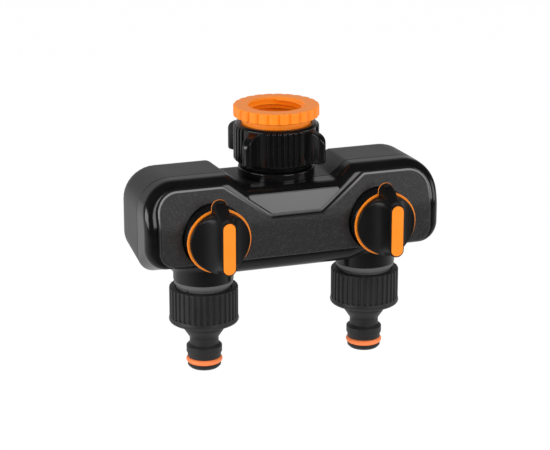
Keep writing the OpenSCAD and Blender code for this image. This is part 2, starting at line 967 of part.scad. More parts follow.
module ball(side) {
    color("#d8d6cf")
        translate([side * outlet_x, part_y, valve_z])
            difference() {
                sphere(d = ball_d);
                rotate([0, -side * 90, 0])
                    cylinder(h = ball_d, d = port_d);
                rotate([180, 0, 0])
                    cylinder(h = ball_d, d = port_d);
                sphere(d = port_d);
                translate([-slot_w / 2, -ball_d / 2 - over, -ball_d / 2])
                    cube([slot_w, slot_depth + over, ball_d]);
            }
}

// A groove round a bar on a valve's axis, at a station
module valve_groove(y, width, bar_d, floor_d) {
    difference() {
        along_valve(y + width / 2 + fit_gap, y - width / 2 - fit_gap, bar_d + over);
        along_valve(y + width, y - width, floor_d);
    }
}

module stem(side) {
    color("#c9c7bf")
        at_valve(side)
            difference() {
                union() {
                    translate([-slot_w / 2 + fit_gap / 2, -stem_d / 2, -ball_front_y - slot_depth + fit_gap])
                        cube([slot_w - fit_gap, stem_d, slot_depth + stem_flange_h / 2]);
                    along_valve(stem_flange_y, stem_front_y, stem_flange_d);
                    along_valve(stem_front_y, bonnet_y, stem_d);
                    translate([-drive_w / 2, -drive_w / 2, -bonnet_y])
                        cube([drive_w, drive_w, bonnet_y - stem_end_y]);
                }
                for (y = stem_seal_y)
                    valve_groove(y, seal_w, stem_d, stem_groove_d);
                along_valve(stem_end_y + pilot_l, stem_end_y - over, screw_d + 2 * fit_gap);
            }
}

module stem_o_rings(side) {
    color("#1a1a1a")
        at_valve(side)
            for (y = stem_seal_y)
                translate([0, 0, -y])
                    seal_ring(stem_d + stem_gap, seal_w);
}

module bonnet(side) {
    color("#1e1e20")
        at_valve(side)
            difference() {
                union() {
                    along_valve(chamber_front_y, bonnet_y, bonnet_d);
                    along_valve(chamber_front_y + bonnet_plug, chamber_front_y, chamber_d - 2 * fit_gap);
                }
                along_valve(0, bonnet_y - over, stem_d + 2 * stem_gap);
                along_valve(0, stem_front_y - run_gap, stem_flange_d + 2 * run_gap);
                valve_groove(bonnet_seal_y, seal_w, chamber_d, bonnet_groove_d);
            }
}

module bonnet_o_ring(side) {
    color("#1a1a1a")
        at_valve(side)
            translate([0, 0, -bonnet_seal_y])
                seal_ring(chamber_d - stem_gap, seal_w);
}

// A disc outline with the pointer lobe at its top
module lobed_disc(d, inset_by) {
    circle(d = d);
    translate([0, lobe_reach - inset_by - lobe_w / 2])
        circle(d = lobe_w - 2 * inset_by);
    translate([-lobe_w / 2 + inset_by, 0])
        square([lobe_w - 2 * inset_by, lobe_reach - inset_by - lobe_w / 2]);
}

module dial_ring(side) {
    color("#f08a1e")
        at_valve(side)
            translate([0, 0, -dial_back_y])
                linear_extrude(dial_h)
                    difference() {
                        lobed_disc(dial_d, 0);
                        circle(d = hub_d + 2 * fit_gap);
                    }
}

// Half of the grip's section, from its root in the disc up a hollow curve to its crest
grip_half = concat(
    [[0, -dial_front_y], [crest_w / 2 + scoop_r, -dial_front_y]],
    [for (i = [0 : arc_steps])
        let (turn = 90 - 80 * i / arc_steps)
        [crest_w / 2 + scoop_r * (1 - cos(turn)), -crest_y - scoop_r * sin(turn)]],
    [[crest_w / 2, -crest_y - crest_edge], [crest_w / 2 - crest_edge, -crest_y], [0, -crest_y]]
);
grip_count = len(grip_half);
grip_section = concat(
    [for (i = [1 : grip_count - 2]) grip_half[i]],
    [for (i = [1 : grip_count - 2]) [-grip_half[grip_count - 1 - i].x, grip_half[grip_count - 1 - i].y]]
);

module knob(side) {
    color("#19191b")
        at_valve(side)
            difference() {
                union() {
                    along_valve(dial_back_y + fit_gap, dial_front_y, hub_d);
                    translate([0, 0, -dial_front_y])
                        linear_extrude(knob_disc_h)
                            lobed_disc(knob_d, disc_inset);
                    knob_grip();
                    knob_beak();
                }
                translate([-drive_w / 2 - fit_gap / 2, -drive_w / 2 - fit_gap / 2, 0])
                    cube([drive_w + fit_gap, drive_w + fit_gap, fit_gap - stem_end_y]);
                along_valve(stem_end_y + over, crest_y - over, screw_d + 2 * fit_gap);
                along_valve(stem_end_y - web_h, crest_y - over, screw_head_d + 2 * fit_gap);
                translate([0, crest_rise, -inlay_front_y - inlay_h - fit_gap])
                    linear_extrude(inlay_h + over)
                        pill(inlay_l + 2 * fit_gap, inlay_w + 2 * fit_gap);
            }
}

// A ridge with round ends and hollow flanks, cut to the knob's disc
module knob_grip() {
    straight = crest_l - crest_w;
    intersection() {
        along_valve(dial_front_y, crest_y, knob_d - 2 * grip_inset);
        translate([0, crest_rise, 0]) {
            rotate([90, 0, 0])
                linear_extrude(straight, center = true)
                    polygon(grip_section);
            for (way = [-1, 1])
                translate([0, way * straight / 2, 0])
                    rotate_extrude()
                        polygon(grip_half);
        }
    }
}

// A ramp that leads from the ridge's upper end to the tip of the pointer lobe
module knob_beak() {
    root_y = crest_rise + crest_l / 2 - crest_w / 2;
    tip_y = lobe_reach - disc_inset;
    intersection() {
        rotate([90, 0, 90])
            linear_extrude(beak_w, center = true)
                polygon(concat(
                    [[root_y, -dial_front_y], [tip_y, -dial_front_y]],
                    [for (i = [0 : beak_steps])
                        let (t = i / beak_steps)
                        [tip_y + (root_y - tip_y) * t, beak_tip + beak_rise * pow(t, beak_bow) - dial_front_y]]
                ));
        translate([0, 0, -dial_front_y])
            linear_extrude(grip_h)
                lobed_disc(knob_d, disc_inset);
    }
}

module pill(l, w) {
    square([w, l - w], center = true);
    for (way = [-1, 1])
        translate([0, way * (l - w) / 2])
            circle(d = w);
}

module grip_inlay(side) {
    color("#f59a2e")
        at_valve(side)
            translate([0, crest_rise, -inlay_front_y - inlay_h])
                linear_extrude(inlay_h)
                    pill(inlay_l, inlay_w);
}

module knob_screw(side) {
    color("#9a9a98")
        at_valve(side)
            translate([0, 0, -stem_end_y + web_h])
                rotate([180, 0, 0])
                    screw(web_h + pilot_l - over);
}

// The ribbed grip of a connector with its bevelled top
module connector_grip() {
    core_d = connector_d - 2 * rib_depth;
    translate([0, 0, grip_end_z])
        linear_extrude(grip_band_h)
            ribbed(connector_d, rib_depth, connector_ribs, 0.5);
    translate([0, 0, grip_end_z + grip_band_h])
        cylinder(h = connector_edge, d1 = core_d - 2 * skin, d2 = core_d - 2 * connector_edge);
}

// The foot of the grip, the cone under it and the nipple
module connector_revolve() {
    barrel_r = nipple_barrel_d / 2;
    collar_r = nipple_collar_d / 2;
    round_r = connector_foot_h;
    rim_r = connector_r + foot_flare;
    rotate_extrude()
        polygon(concat(
            [
                [0, nipple_end_z],
                [barrel_r - nipple_tip, nipple_end_z],
                [barrel_r - nipple_tip / 3, nipple_end_z + nipple_tip / 2],
                [barrel_r, nipple_end_z + nipple_tip],
                [barrel_r, nipple_collar_z - edge],
                [collar_r, nipple_collar_z],
                [collar_r, nipple_collar_z + nipple_collar_h],
                [collar_r - edge, nipple_collar_z + nipple_collar_h + edge],
                [waist_d / 2, waist_z],
                [waist_d / 2, cone_z],
                [foot_d / 2 - edge, connector_foot_z - cone_h * cone_knee],
                [foot_d / 2, connector_foot_z]
            ],
            [for (i = [0 : arc_steps])
                let (turn = 90 * i / arc_steps)
                [rim_r - round_r * (1 - sin(turn)), grip_end_z - round_r * cos(turn)]],
            [[connector_r + skin, grip_end_z + foot_flare_h], [0, grip_end_z + foot_flare_h]]
        ));
}

module hose_connector(side) {
    color("#242426")
        at_outlet(side)
            difference() {
                union() {
                    connector_revolve();
                    connector_grip();
                }
                drop_cylinder(connector_top_z + over, socket_floor_z, outlet_thread_d + 2 * thread_gap);
                drop_cylinder(connector_top_z, nipple_end_z - over, nipple_bore_d);
                round_groove(nipple_ring_z, nipple_ring_w, connector_d, nipple_seal_d - 2 * nipple_ring_w);
            }
}

module nipple_o_ring(side) {
    color("#f2803c")
        at_outlet(side)
            translate([0, 0, nipple_ring_z])
                seal_ring(nipple_seal_d, nipple_ring_w - 2 * stem_gap);
}

module connector_washer(side) {
    color("#2a2a2a")
        at_outlet(side)
            flat_ring(stub_z - fit_gap, washer_h, outlet_thread_d - 2 * fit_gap, outlet_bore_d - 1);
}

// The reducer's scalloped flange: wide pads with narrow flutes between them
module scalloped(d, count) {
    pitch = 360 / count;
    polygon([for (i = [0 : count - 1])
        for (k = [[-0.5, 1], [-0.4, 0.4], [-0.28, 0.1], [0, 0], [0.28, 0.1], [0.4, 0.4]])
            (d / 2 - k.y * scallop_depth) * [cos((i + k.x) * pitch), sin((i + k.x) * pitch)]]);
}

module inlet_reducer() {
    bevel_d = reducer_flange_d - 2 * scallop_depth;
    lip_d = bevel_d - flange_bevel;
    color("#f7931e")
        difference() {
            union() {
                translate([0, 0, flange_z + flange_edge])
                    linear_extrude(reducer_flange_h - flange_edge)
                        scalloped(reducer_flange_d, reducer_scallops);
                translate([0, 0, flange_z])
                    cylinder(h = flange_edge, d1 = lip_d, d2 = bevel_d);
                drop_cylinder(flange_z, reducer_end_z, union_thread_d);
            }
            drop_cylinder(rim_z + over, washer_top_z - over, tap_bore_d);
            drop_cylinder(washer_top_z, seat_z, recess_d);
            drop_cylinder(rim_z, reducer_end_z - over, reducer_bore_d);
            cylinder(h = mouth_bevel, d1 = tap_bore_d, d2 = tap_bore_d + 2 * mouth_bevel);
        }
}

module reducer_washer() {
    color("#2a2a2a")
        flat_ring(washer_top_z - fit_gap / 2, washer_h - fit_gap, recess_d - 2 * fit_gap, reducer_bore_d);
}

module union_washer() {
    color("#2a2a2a")
        flat_ring(reducer_end_z - fit_gap, washer_h, union_thread_d - union_washer_less, reducer_bore_d);
}

// One wing of the swivel nut, with a sloping top and a rounded tip
module nut_wing() {
    wing_top_z = nut_top_z - wing_drop;
    root = nut_d / 2 - wing_root;
    neck = nut_d / 2 + wing_flare;
    tip = wing_reach - wing_w / 2;
    side_face = [
        [root, wing_top_z - wing_h, 0],
        [wing_reach, wing_top_z - wing_h + wing_rise, wing_low_r],
        [wing_reach, wing_top_z - wing_fall, wing_tip_r],
        [root, wing_top_z, 0]
    ];
    intersection() {
        rotate([90, 0, 0])
            linear_extrude(wing_w + 2 * wing_flare, center = true)
                polygon(outline(side_face));
        linear_extrude(reach_all, center = true) {
            for (way = [-1, 1])
                scale([1, way])
                    polygon([
                        [root, 0],
                        [tip, 0],
                        [tip, wing_w / 2],
                        [neck, wing_w / 2],
                        [root, wing_w / 2 + wing_flare]
                    ]);
            translate([tip, 0])
                circle(d = wing_w);
        }
    }
}

// The nut's outline: fields of flat-topped ribs between smooth shoulders for the wings
module nut_outline() {
    field = 360 / nut_wings;
    pitch = nut_rib_span / (nut_ribs - 1);
    rib = pitch * rib_share / 2;
    flank = rib + pitch / 8;
    core_r = nut_d / 2 - rib_depth;
    shoulder = field - nut_rib_span - 2 * flank;
    steps = [[-flank, 0], [-rib, 1], [rib, 1], [flank, 0]];
    polygon([for (w = [0 : nut_wings - 1])
        let (first = wing_turn + (w + 0.5) * field - nut_rib_span / 2)
        each concat(
            [for (i = [0 : nut_ribs - 1])
                for (k = steps)
                    let (turn = first + i * pitch + k.x)
                    (core_r + k.y * rib_depth) * [cos(turn), sin(turn)]],
            [for (i = [1 : shoulder_steps - 1])
                let (turn = first + nut_rib_span + flank + shoulder * i / shoulder_steps)
                core_r * [cos(turn), sin(turn)]]
        )]);
}

module swivel_nut() {
    nut_core_d = nut_d - 2 * rib_depth - 2 * skin;
    rib_low_z = nut_top_z - nut_edge - nut_rib_h;
    color("#17171a")
        difference() {
            union() {
                translate([0, 0, rib_low_z])
                    linear_extrude(nut_rib_h)
                        nut_outline();
                translate([0, 0, rib_low_z + nut_rib_h])
                    cylinder(h = nut_edge, d1 = nut_core_d, d2 = nut_core_d - 2 * nut_edge);
                translate([0, 0, nut_foot_z])
                    cylinder(h = rib_low_z - nut_foot_z, d1 = nut_core_d - nut_taper, d2 = nut_core_d);
                for (i = [0 : nut_wings - 1])
                    rotate([0, 0, wing_turn + i * 360 / nut_wings])
                        nut_wing();
            }
            drop_cylinder(nut_top_z + over, shoulder_z, union_thread_d + 2 * thread_gap);
            drop_cylinder(nut_top_z, nut_foot_z - over, tail_d + 2 * run_gap);
        }
}

module inlet_tailpiece() {
    color("#1b1b1d")
        difference() {
            union() {
                drop_cylinder(tail_top_z, tail_flange_z, tail_d);
                drop_cylinder(tail_flange_z + tail_flange_h, tail_flange_z, tail_flange_d);
                drop_cylinder(tail_flange_z, tail_flange_z - spigot_len, spigot_d);
            }
            drop_cylinder(tail_top_z + over, tail_flange_z - spigot_len - over, tail_bore_d);
            round_groove(clip_top_z - clip_h / 2, clip_h + 2 * fit_gap, tail_d, tail_d - 2 * clip_groove);
            round_groove(tail_seal_z, tail_seal_w + 2 * fit_gap, spigot_d, spigot_d - 2 * tail_seal_w);
        }
}

module tailpiece_o_ring() {
    color("#1a1a1a")
        translate([0, 0, tail_seal_z])
            seal_ring(spigot_d + fit_gap, tail_seal_w);
}

// A spring clip in the tailpiece's groove, open at one side
module nut_clip() {
    color("#b8b8b4")
        difference() {
            flat_ring(clip_top_z, clip_h, clip_d, tail_d - 2 * clip_groove + 2 * fit_gap);
            translate([0, -clip_mouth / 2, clip_top_z - clip_h - over])
                cube([clip_d, clip_mouth, clip_h + 2 * over]);
        }
}

module inlet_collar() {
    color("#19191b")
        difference() {
            union() {
                translate([0, 0, collar_top_z - edge])
                    cylinder(h = edge, d1 = collar_d, d2 = collar_d - 2 * edge);
                drop_cylinder(collar_top_z - edge, bridge_z, collar_d);
                drop_cylinder(bridge_z, bridge_z - wall, collar_spigot_d);
            }
            drop_cylinder(collar_top_z + over, bridge_z - wall - over, tail_d + 2 * fit_gap);
            drop_cylinder(collar_top_z - collar_lid, bridge_z - wall - over, tail_flange_d + 2 * fit_gap);
        }
}

front_shell();
rear_cover();
fascia_plate();
center_panel();
cover_screws();
manifold_core();
inlet_collar();
inlet_tailpiece();
tailpiece_o_ring();
nut_clip();
union_washer();
swivel_nut();
inlet_reducer();
reducer_washer();
bonnet(-1);  // left_bonnet
bonnet(1);  // right_bonnet
bonnet_o_ring(-1);  // left_bonnet_o_ring
bonnet_o_ring(1);  // right_bonnet_o_ring
ball_seats(-1);  // left_ball_seats
ball_seats(1);  // right_ball_seats
ball(-1);  // left_ball
ball(1);  // right_ball
stem(-1);  // left_stem
stem(1);  // right_stem
stem_o_rings(-1);  // left_stem_o_rings
stem_o_rings(1);  // right_stem_o_rings
knob(-1);  // left_knob
knob(1);  // right_knob
dial_ring(-1);  // left_dial_ring
dial_ring(1);  // right_dial_ring
grip_inlay(-1);  // left_grip_inlay
grip_inlay(1);  // right_grip_inlay
knob_screw(-1);  // left_knob_screw
knob_screw(1);  // right_knob_screw
hose_connector(-1);  // left_connector
hose_connector(1);  // right_connector
nipple_o_ring(-1);  // left_nipple_o_ring
nipple_o_ring(1);  // right_nipple_o_ring
connector_washer(-1);  // left_connector_washer
connector_washer(1);  // right_connector_washer
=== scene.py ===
from math import acos, atan2, cos, hypot, pi, radians, sin, sqrt, tan

import bmesh
import bpy
from mathutils import Matrix, Vector


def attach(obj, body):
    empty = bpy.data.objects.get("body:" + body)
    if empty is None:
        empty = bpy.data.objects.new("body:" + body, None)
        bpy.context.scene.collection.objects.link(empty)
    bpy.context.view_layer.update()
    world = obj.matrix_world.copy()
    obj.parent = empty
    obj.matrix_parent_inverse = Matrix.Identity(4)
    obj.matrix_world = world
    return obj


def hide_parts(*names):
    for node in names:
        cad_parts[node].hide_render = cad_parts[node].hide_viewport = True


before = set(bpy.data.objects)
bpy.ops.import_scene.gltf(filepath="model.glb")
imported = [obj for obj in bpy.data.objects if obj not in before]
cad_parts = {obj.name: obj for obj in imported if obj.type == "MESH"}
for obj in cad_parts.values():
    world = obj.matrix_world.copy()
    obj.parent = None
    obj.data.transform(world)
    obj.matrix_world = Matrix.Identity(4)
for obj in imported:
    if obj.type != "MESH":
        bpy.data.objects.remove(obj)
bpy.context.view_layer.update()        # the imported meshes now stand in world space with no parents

# Shapes are worked out in millimetres and scaled when a piece is finished
toMetres = Matrix.Scale(0.001, 4)
scene = bpy.context.scene
sides = {"left": -1, "right": 1}
mergeDistance = 0.0005
facets = {"small": 48, "plain": 96, "large": 128, "connector": 144, "nut": 160}        # of a round form


# Node trees


class Wire:
    # One output socket, so that a sum of sockets reads as a sum

    def __init__(self, bench, socket):
        self.bench = bench
        self.socket = socket

    def maths(self, operation, first, second):
        return self.bench.add("ShaderNodeMath", {"operation": operation}, {0: first, 1: second})

    def __add__(self, other):
        return self.maths("ADD", self, other)

    def __sub__(self, other):
        return self.maths("SUBTRACT", self, other)

    def __rsub__(self, other):
        return self.maths("SUBTRACT", other, self)

    def __mul__(self, other):
        return self.maths("MULTIPLY", self, other)

    def __truediv__(self, other):
        return self.maths("DIVIDE", self, other)

    def __pow__(self, power):
        return self.maths("POWER", self, power)

    def least(self, other):
        return self.maths("MINIMUM", self, other)

    def most(self, other):
        return self.maths("MAXIMUM", self, other)

    def clamped(self):
        return self.least(1.0).most(0.0)


class Bench:
    # A node tree under construction

    def __init__(self, tree):
        self.tree = tree

    def add(self, kind, settings=None, sockets=None, out=0):
        node = self.tree.nodes.new(kind)
        for name, value in (settings or {}).items():
            setattr(node, name, value)
        for key, value in (sockets or {}).items():
            self.plug(node.inputs[key], value)
        return Wire(self, node.outputs[out])

    def plug(self, socket, value):
        if isinstance(value, Wire):
            self.tree.links.new(value.socket, socket)
        elif isinstance(value, (list, tuple)) and value and isinstance(value[0], Wire):
            for wire in value:
                self.tree.links.new(wire.socket, socket)
        else:
            socket.default_value = value

    def blendColours(self, share, first, second):
        # sockets 6 and 7 are the colour inputs of a Mix node
        return self.add("ShaderNodeMix", {"data_type": "RGBA"}, {0: share, 6: first, 7: second}, out=2)


# Finishes


def grey(level):
    return (level, level, level * 1.03, 1.0)


def plastic(colour, second, rough, grain, relief, gloss=0.5):
    # two colours and two roughnesses that drift over a moulding, and its fine grain
    return {
        "colour": colour, "second": second, "rough": rough, "grain": grain, "relief": relief, "gloss": gloss,
    }


finishes = {
    "satinShell": plastic(grey(0.007), grey(0.01), (0.32, 0.4), 0.35, 0.05),
    "glossShell": plastic(grey(0.004), grey(0.006), (0.15, 0.2), 0.5, 0.02),
    "knobBlack": plastic(grey(0.004), grey(0.006), (0.32, 0.4), 0.3, 0.05, gloss=0.25),
    "panelBlack": plastic(grey(0.1), grey(0.112), (0.36, 0.44), 0.3, 0.06),
    "nutBlack": plastic(grey(0.004), grey(0.006), (0.13, 0.2), 0.6, 0.03),
    "connectorBlack": plastic(grey(0.014), grey(0.019), (0.4, 0.5), 0.25, 0.1, gloss=0.45),
    "coreGrey": plastic(grey(0.095), grey(0.11), (0.4, 0.5), 0.3, 0.08, gloss=0.45),
    "rubberBlack": plastic(grey(0.014), grey(0.022), (0.6, 0.75), 0.25, 0.2, gloss=0.35),
    "warmOrange": plastic(
        (0.98, 0.245, 0.004, 1.0), (1.0, 0.265, 0.006, 1.0), (0.3, 0.38), 0.5, 0.03, gloss=0.45,
    ),
    "sealOrange": plastic(
        (0.92, 0.2, 0.05, 1.0), (0.96, 0.25, 0.07, 1.0), (0.42, 0.55), 0.25, 0.1, gloss=0.4,
    ),
    "valveIvory": plastic(
        (0.72, 0.69, 0.6, 1.0), (0.78, 0.75, 0.67, 1.0), (0.3, 0.4), 0.4, 0.04, gloss=0.45,
    ),
}
coordinateScale = 1000.0        # object coordinates are metres, patterns are sized in millimetres


def newFinish(name):
    material = bpy.data.materials.new(name)
    material.use_nodes = True
    tree = material.node_tree
    tree.nodes.clear()
    bench = Bench(tree)
    shader = tree.nodes.new("ShaderNodeBsdfPrincipled")
    ending = tree.nodes.new("ShaderNodeOutputMaterial")
    tree.links.new(shader.outputs["BSDF"], ending.inputs["Surface"])
    return material, bench, shader


def millimetres(bench):
    place = bench.add("ShaderNodeTexCoord", out="Object")
    return bench.add("ShaderNodeMapping", {}, {"Vector": place, "Scale": (coordinateScale,) * 3})


def noise(bench, scale, detail, rough=0.5):
    sockets = {"Vector": millimetres(bench), "Scale": scale, "Detail": detail, "Roughness": rough}
    return bench.add("ShaderNodeTexNoise", {}, sockets)


def addRelief(bench, shader, strength, distance, height):
    relief = bench.add("ShaderNodeBump", {}, {"Strength": strength, "Distance": distance, "Height": height})
    bench.plug(shader.inputs["Normal"], relief)


moulding = {
    "drift": 0.06, "driftDetail": 4.0, "driftRough": 0.6, "driftFrom": 0.35, "driftGain": 3.0,
    "driftShare": 0.6, "grainDetail": 2.0, "grainShare": 0.4, "grainHeight": 0.0002,
}


def mouldedPlastic(name):
    facts, m = finishes[name], moulding
    material, bench, shader = newFinish(name)
    drift = noise(bench, m["drift"], m["driftDetail"], m["driftRough"])
    grain = noise(bench, 1.0 / facts["grain"], m["grainDetail"])
    low, high = facts["rough"]
    shade = ((drift - m["driftFrom"]) * m["driftGain"]).clamped()
    rough = shade * (high - low) * m["driftShare"] + grain * ((high - low) * m["grainShare"]) + low
    bench.plug(shader.inputs["Base Color"], bench.blendColours(shade, facts["colour"], facts["second"]))
    bench.plug(shader.inputs["Roughness"], rough)
    addRelief(bench, shader, facts["relief"], m["grainHeight"], grain)
    shader.inputs["Specular IOR Level"].default_value = facts["gloss"]
    return material


speckle = {
    "grain": 0.4, "grainDetail": 3.0, "fleck": 0.38, "fleckFrom": 0.8, "fleckGain": 5.0, "fleckRise": 0.5,
    "rough": (0.3, 0.48), "rimRough": 0.2, "relief": 0.5, "height": 0.0003,
    # edge is the pale colour of the painted highlight on the rim
    "dark": grey(0.016), "bright": grey(0.05), "edge": grey(0.22),
}


def sparkTextureWithHighlight():
    # an eroded mould texture that ends at a polished rim, with a painted highlight: a pale colour painted
    # along the middle of the rim stands in for the light it catches
    s = speckle
    material, bench, shader = newFinish("sparkTextureWithHighlight")
    rim, shine = [
        bench.add("ShaderNodeAttribute", {"attribute_name": name}, out="Fac") for name in ("rim", "shine")
    ]
    face = 1.0 - rim
    grain = noise(bench, 1.0 / s["grain"], s["grainDetail"])
    cells = {"Vector": millimetres(bench), "Scale": 1.0 / s["fleck"]}
    fleck = bench.add("ShaderNodeTexVoronoi", {}, cells, out="Color")
    flecks = bench.add("ShaderNodeSeparateColor", {}, {"Color": fleck}, out="Red")
    bright = ((flecks - s["fleckFrom"]) * s["fleckGain"]).clamped() * face
    shade = bench.blendColours(bright, s["dark"], s["bright"])
    # painted highlight: the pale edge colour is painted wherever the highlight mask is set
    bench.plug(shader.inputs["Base Color"], bench.blendColours(shine, shade, s["edge"]))
    low, high = s["rough"]
    rough = grain * (high - low) + low
    bench.plug(shader.inputs["Roughness"], rough * face + rim * s["rimRough"])
    addRelief(bench, shader, s["relief"], s["height"], (grain + flecks * s["fleckRise"]) * face)
    return material


steel = {"wear": 1.4, "detail": 5.0, "dark": grey(0.42), "bright": grey(0.6), "rough": (0.22, 0.42)}


def brushedSteel():
    material, bench, shader = newFinish("brushedSteel")
    wear = noise(bench, steel["wear"], steel["detail"])
    low, high = steel["rough"]
    bench.plug(shader.inputs["Base Color"], bench.blendColours(wear, steel["dark"], steel["bright"]))
    bench.plug(shader.inputs["Roughness"], wear * (high - low) + low)
    shader.inputs["Metallic"].default_value = 1.0
    return material


made = {name: mouldedPlastic(name) for name in finishes}
made["sparkTextureWithHighlight"] = sparkTextureWithHighlight()
made["brushedSteel"] = brushedSteel()
print("finishes:", len(made))


# Outlines and solids


def unit(x, y):
    size = hypot(x, y)
    return x / size, y / size


def drawnIn(corners, draws):
    # moves each edge of an outline inwards by its own distance; edge i runs from corner i to the next
    moved = []
    count = len(corners)
    for i, (x, y, bend) in enumerate(corners):
        before = corners[i - 1]
        after = corners[(i + 1) % count]
        into = unit(x - before[0], y - before[1])
        onward = unit(after[0] - x, after[1] - y)
        first = (-into[1], into[0])
        second = (-onward[1], onward[0])
        cross = first[0] * second[1] - first[1] * second[0]
        one = x * first[0] + y * first[1] + draws[i - 1]
        two = x * second[0] + y * second[1] + draws[i]
        px = (one * second[1] - two * first[1]) / cross
        py = (first[0] * two - second[0] * one) / cross
        moved.append((px, py, bend))
    return moved


def rounded(corners, steps=5):
    # points of an outline with its corners rounded; a corner with no radius is one point
    points = []
    count = len(corners)
    for i, (x, y, bend) in enumerate(corners):
        if bend <= 0:
            points.append((x, y))
            continue
        a = unit(corners[i - 1][0] - x, corners[i - 1][1] - y)
        b = unit(corners[(i + 1) % count][0] - x, corners[(i + 1) % count][1] - y)
        half = acos(max(-1.0, min(1.0, a[0] * b[0] + a[1] * b[1]))) / 2
        middle = unit(a[0] + b[0], a[1] + b[1])
        cx = x + middle[0] * bend / sin(half)
        cy = y + middle[1] * bend / sin(half)
        start = atan2(y + a[1] * bend / tan(half) - cy, x + a[0] * bend / tan(half) - cx)
        stop = atan2(y + b[1] * bend / tan(half) - cy, x + b[0] * bend / tan(half) - cx)
        sweep = (stop - start + 3 * pi) % (2 * pi) - pi
        for k in range(steps + 1):
            turn = start + sweep * k / steps
            points.append((cx + bend * cos(turn), cy + bend * sin(turn)))
    return points


def roundIn(reach, depth, behind):
    # how far a rounded edge has drawn in at a distance behind its face
    rest = max(0.0, 1.0 - behind / depth)
    return reach * (1.0 - sqrt(max(0.0, 1.0 - rest * rest)))


def edgeSteps(edge, step):
    # how far a rounded edge draws in and lies behind its face, from its side round to the face
    turns = [radians(a) for a in range(0, 91, step)]
    return [(edge * (1 - cos(turn)), edge * (1 - sin(turn))) for turn in turns]


def bothSides(right):
    # an outline from its right half, which runs from the foot up to the middle
    left = [(-x, z, bend) for x, z, bend in reversed(right)]
    return left[-1:] + right + left[:-1]


def atDepth(points, y):
    return [(x, y, z) for x, z in points]


def finished(bm):
    bmesh.ops.remove_doubles(bm, verts=bm.verts, dist=mergeDistance)
    bmesh.ops.recalc_face_normals(bm, faces=bm.faces)
    return bm


def lofted(rings):
    bm = bmesh.new()
    rows = [[bm.verts.new(point) for point in ring] for ring in rings]
    count = len(rings[0])
    for near, far in zip(rows, rows[1:]):
        for i in range(count):
            j = (i + 1) % count
            bm.faces.new((near[i], near[j], far[j], far[i]))
    bm.faces.new(rows[0][::-1])
    bm.faces.new(rows[-1])
    return finished(bm)


def turned(profile, steps=facets["plain"]):
    # a closed profile of radius and height, spun round Z
    bm = bmesh.new()
    rows = []
    for radius, height in profile:
        if radius < 0.001:
            rows.append([bm.verts.new((0, 0, height))] * steps)
        else:
            rows.append([
                bm.verts.new((radius * cos(2 * pi * k / steps), radius * sin(2 * pi * k / steps), height))
                for k in range(steps)
            ])
    for near, far in zip(rows, rows[1:] + rows[:1]):
        for i in range(steps):
            j = (i + 1) % steps
            ring = list(dict.fromkeys((near[i], near[j], far[j], far[i])))
            if len(ring) > 2:
                bm.faces.new(ring)
    return finished(bm)


def rod(radius, low, high, edge=0.0, steps=facets["plain"]):
    corners = [(0, low, 0), (radius, low, edge), (radius, high, edge), (0, high, 0)]
    return turned(rounded(corners, 4 if edge else 1), steps)


def moved(bm, matrix):
    bmesh.ops.transform(bm, matrix=matrix, verts=bm.verts)
    return bm


def shifted(bm, x, y, z):
    return moved(bm, Matrix.Translation((x, y, z)))


def meshOf(bm, name="shape"):
    mesh = bpy.data.meshes.new(name)
    bm.to_mesh(mesh)
    bm.free()
    return mesh


def workObject(bm, name="blank"):
    blank = bpy.data.objects.new(name, meshOf(bm, name))
    scene.collection.objects.link(blank)
    return blank


def removeObject(blank):
    mesh = blank.data
    bpy.data.objects.remove(blank)
    if mesh and mesh.users == 0:
        bpy.data.meshes.remove(mesh)


def settle(blank):
    # turns live modifiers into a plain mesh
    graph = bpy.context.evaluated_depsgraph_get()
    result = bpy.data.meshes.new_from_object(blank.evaluated_get(graph))
    blank.modifiers.clear()
    old = blank.data
    blank.data = result
    if old.users == 0:
        bpy.data.meshes.remove(old)
    return blank


def worked(blank, operation, tools):
    for bm in tools:
        tool = workObject(bm, "tool")
        step = blank.modifiers.new("step", "BOOLEAN")
        step.operation = operation
        step.solver = "MANIFOLD"
        step.object = tool
        settle(blank)
        removeObject(tool)
    return blank


def meshOut(blank):
    mesh = blank.data.copy()
    removeObject(blank)
    return mesh


def formOut(blank):
    bm = bmesh.new()
    bm.from_mesh(blank.data)
    removeObject(blank)
    return bm


def joined(meshes):
    bm = bmesh.new()
    for mesh in meshes:
        bm.from_mesh(mesh)
        bpy.data.meshes.remove(mesh)
    return meshOf(bm)


def addPiece(name, mesh, body, finish, nodes, crease=32.0, even=True):
    mesh.name = name
    mesh.transform(toMetres)
    mesh.materials.clear()
    mesh.materials.append(made[finish])
    for polygon in mesh.polygons:
        polygon.use_smooth = True
        polygon.material_index = 0
    mesh.set_sharp_from_angle(angle=radians(crease))
    piece = bpy.data.objects.new(name, mesh)
    scene.collection.objects.link(piece)
    if even:
        shading = piece.modifiers.new("evenShading", "WEIGHTED_NORMAL")
        shading.keep_sharp = True
    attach(piece, body)
    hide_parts(*nodes)
    return piece


# Geometry Nodes trees


def newTree(name, inputs):
    tree = bpy.data.node_groups.new(name, "GeometryNodeTree")
    for label, kind in inputs:
        tree.interface.new_socket(label, in_out="INPUT", socket_type="NodeSocket" + kind)
    tree.interface.new_socket("Piece", in_out="OUTPUT", socket_type="NodeSocketGeometry")
    bench = Bench(tree)
    source = tree.nodes.new("NodeGroupInput")
    wires = {label: Wire(bench, source.outputs[label]) for label, kind in inputs}
    return tree, bench, wires


def endTree(tree, bench, geometry, finish):
    real = bench.add("GeometryNodeRealizeInstances", {}, {"Geometry": geometry})
    coated = bench.add("GeometryNodeSetMaterial", {}, {"Geometry": real, "Material": finish})
    ending = tree.nodes.new("NodeGroupOutput")
    bench.plug(ending.inputs["Piece"], coated)


def copyOf(bench, wires):
    settings = {"transform_space": "ORIGINAL"}
    return bench.add("GeometryNodeObjectInfo", settings, {"Object": wires["Copy"]}, out="Geometry")


